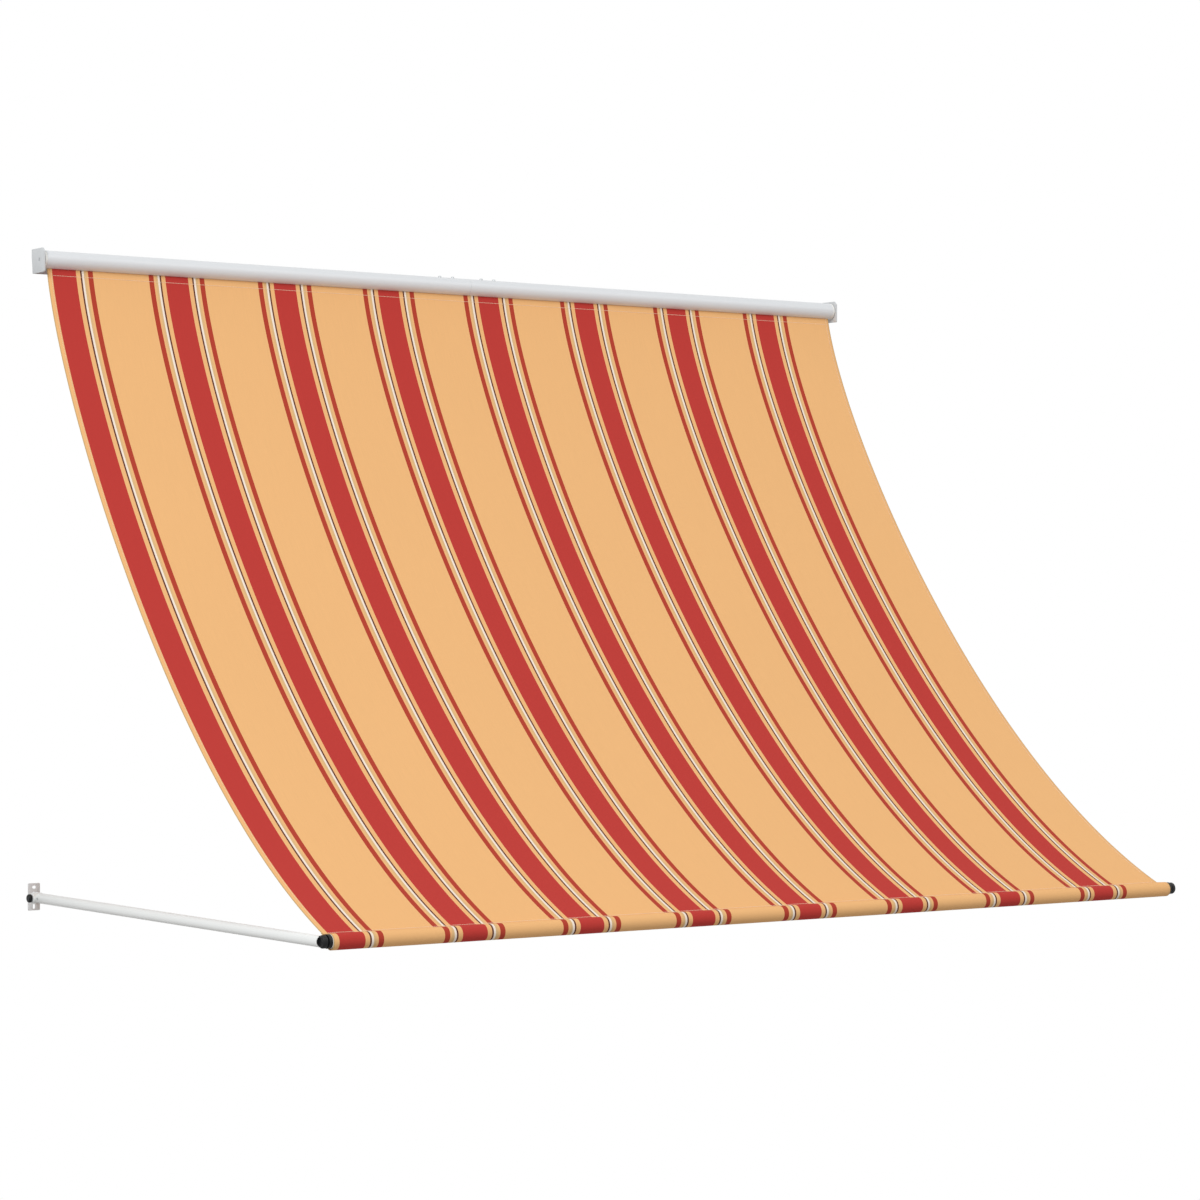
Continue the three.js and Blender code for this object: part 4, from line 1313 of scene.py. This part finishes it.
def makeBarPlug(side):
    node = nodeOn(side, "bar_plug")
    radius, length = roundSize(node)
    axle, flangeEnd = barPlug["axle"], barPlug["axle"] + barPlug["flange"]
    face = [(axle + depth, step) for depth, step in barPlug["face"]]
    profile = [(0, 0), (0, barPlug["axleRadius"]), (face[0][0], barPlug["axleRadius"])] + face
    profile += [(axle, radius), (flangeEnd, radius), (flangeEnd, barPlug["spigotRadius"]),
                (length, barPlug["spigotRadius"]), (length, 0)]
    makeTurned(node, barAxis, profile, "front_bar", "blackPlastic", steps=56, edge=barPlug["edge"],
               side=side)


def makeFrontBar(side):
    node = nodeOn(side, "front_bar")
    profile = rodProfile(roundSize(node)[1], barRadius, barRadius - arm["wall"])
    makeTurned(node, barAxis, profile, "front_bar", "whitePaint", steps=64, edge=arm["tubeEdge"])


for side in sides:
    makeKnuckle(side)
    makeRivet(side)
    makeElbow(side)
    makeBarPlug(side)
    makeArmTube(side)
    makeFrontBar(side)
print("arms and front bar done")

# Hidden inner pieces keep their construction shape
keptNodes = {"roller_joint_sleeve": "zinc", "shaft_bush": "whitePlastic", "spring_anchor": "zinc",
             "bar_joint_sleeve": "zinc"}
for node, name in keptNodes.items():
    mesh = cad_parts[node].data
    mesh.materials.clear()
    mesh.materials.append(finish[name])

# Studio: pale floor well below, white surroundings for the camera, soft lamps
studio = {
    "floorDrop": 2.05,  # below the arms
    "floorRadius": 6.2,
    "floorFade": 2.2,  # width of the rim that fades away
    "floorRim": 0.02,
    "floorSpecular": 0.1,
    "floorRoughness": 0.9,
    "floorColour": srgb(240, 240, 238),
    "floorBounce": srgb(178, 176, 174),  # as the object sees it
    "worldLight": 0.52,
    "lampSize": 5.0,
    "lamps": [
        {"name": "key", "place": (-7.5, -4.5, 4.5), "power": 500},
        {"name": "fill", "place": (5.5, -6.0, 4.5), "power": 160},
        {"name": "top", "place": (1.2, -5.0, 5.5), "power": 50},
    ],
    "aim": (1.2, -0.7, -0.75),
}

camera = {"place": (-3.611, -7.460, -0.836), "yaw": math.radians(35.165), "pitch": math.radians(0.250),
          "roll": math.radians(0.030), "sensor": 36, "lens": 102.4}


# 1 for rays that show the surroundings themselves, 0 for those that light the awning
def seenRays(tree):
    rays = addNode(tree, "ShaderNodeLightPath")
    seen = calc(tree, "MAXIMUM", rays.outputs["Is Camera Ray"], rays.outputs["Is Glossy Ray"])
    return calc(tree, "MAXIMUM", seen, rays.outputs["Is Transmission Ray"])


def makeFloor():
    bm = bmesh.new()
    level = Vector((studio["aim"][0], studio["aim"][1], pivotAxis.z - studio["floorDrop"]))
    bmesh.ops.create_circle(bm, cap_ends=True, segments=96, radius=studio["floorRadius"],
                            matrix=Matrix.Translation(level))
    floor = objectOf(bm, "floor")
    bm.free()
    material, tree, shader = startMaterial("paleFloor", studio["floorSpecular"])
    colour = mixColours(tree, seenRays(tree), studio["floorBounce"], studio["floorColour"])
    feed(tree, colour, shader.inputs["Base Color"])
    shader.inputs["Roughness"].default_value = studio["floorRoughness"]
    # the rim fades into the white around it
    place = addNode(tree, "ShaderNodeTexCoord").outputs["Object"]
    distance = addNode(tree, "ShaderNodeVectorMath", operation="DISTANCE")
    feed(tree, place, distance.inputs[0])
    distance.inputs[1].default_value = level
    fade = addNode(tree, "ShaderNodeMapRange", interpolation_type="SMOOTHSTEP")
    feed(tree, distance.outputs["Value"], fade.inputs["Value"])
    fill(fade, {"From Min": studio["floorRadius"] - studio["floorFade"],
                "From Max": studio["floorRadius"] - studio["floorRim"], "To Min": 1, "To Max": 0})
    feed(tree, fade.outputs["Result"], shader.inputs["Alpha"])
    floor.data.materials.append(material)


def makeWorld():
    world = bpy.data.worlds.new("studio")
    world.use_nodes = True
    scene.world = world
    tree = world.node_tree
    background = tree.nodes["Background"]
    background.inputs["Color"].default_value = (1, 1, 1, 1)
    strength = calc(tree, "MULTIPLY_ADD", seenRays(tree), 1 - studio["worldLight"], studio["worldLight"])
    feed(tree, strength, background.inputs["Strength"])


def makeLamps():
    for look in studio["lamps"]:
        data = bpy.data.lights.new(look["name"], "AREA")
        data.energy = look["power"]
        data.size = studio["lampSize"]
        lamp = bpy.data.objects.new(look["name"], data)
        scene.collection.objects.link(lamp)
        lamp.location = look["place"]
        run = Vector(studio["aim"]) - Vector(look["place"])
        lamp.rotation_euler = run.to_track_quat("-Z", "Y").to_euler()


def makeCamera():
    data = bpy.data.cameras.new("camera")
    data.sensor_width = camera["sensor"]
    data.lens = camera["lens"]
    holder = bpy.data.objects.new("camera", data)
    scene.collection.objects.link(holder)
    holder.location = camera["place"]
    run = Vector((math.sin(camera["yaw"]) * math.cos(camera["pitch"]),
                  math.cos(camera["yaw"]) * math.cos(camera["pitch"]), math.sin(camera["pitch"])))
    level = run.to_track_quat("-Z", "Y").to_matrix()
    holder.rotation_euler = (level @ Matrix.Rotation(camera["roll"], 3, "Z")).to_euler()
    scene.camera = holder


makeFloor()
makeWorld()
makeLamps()
makeCamera()
print("studio done")
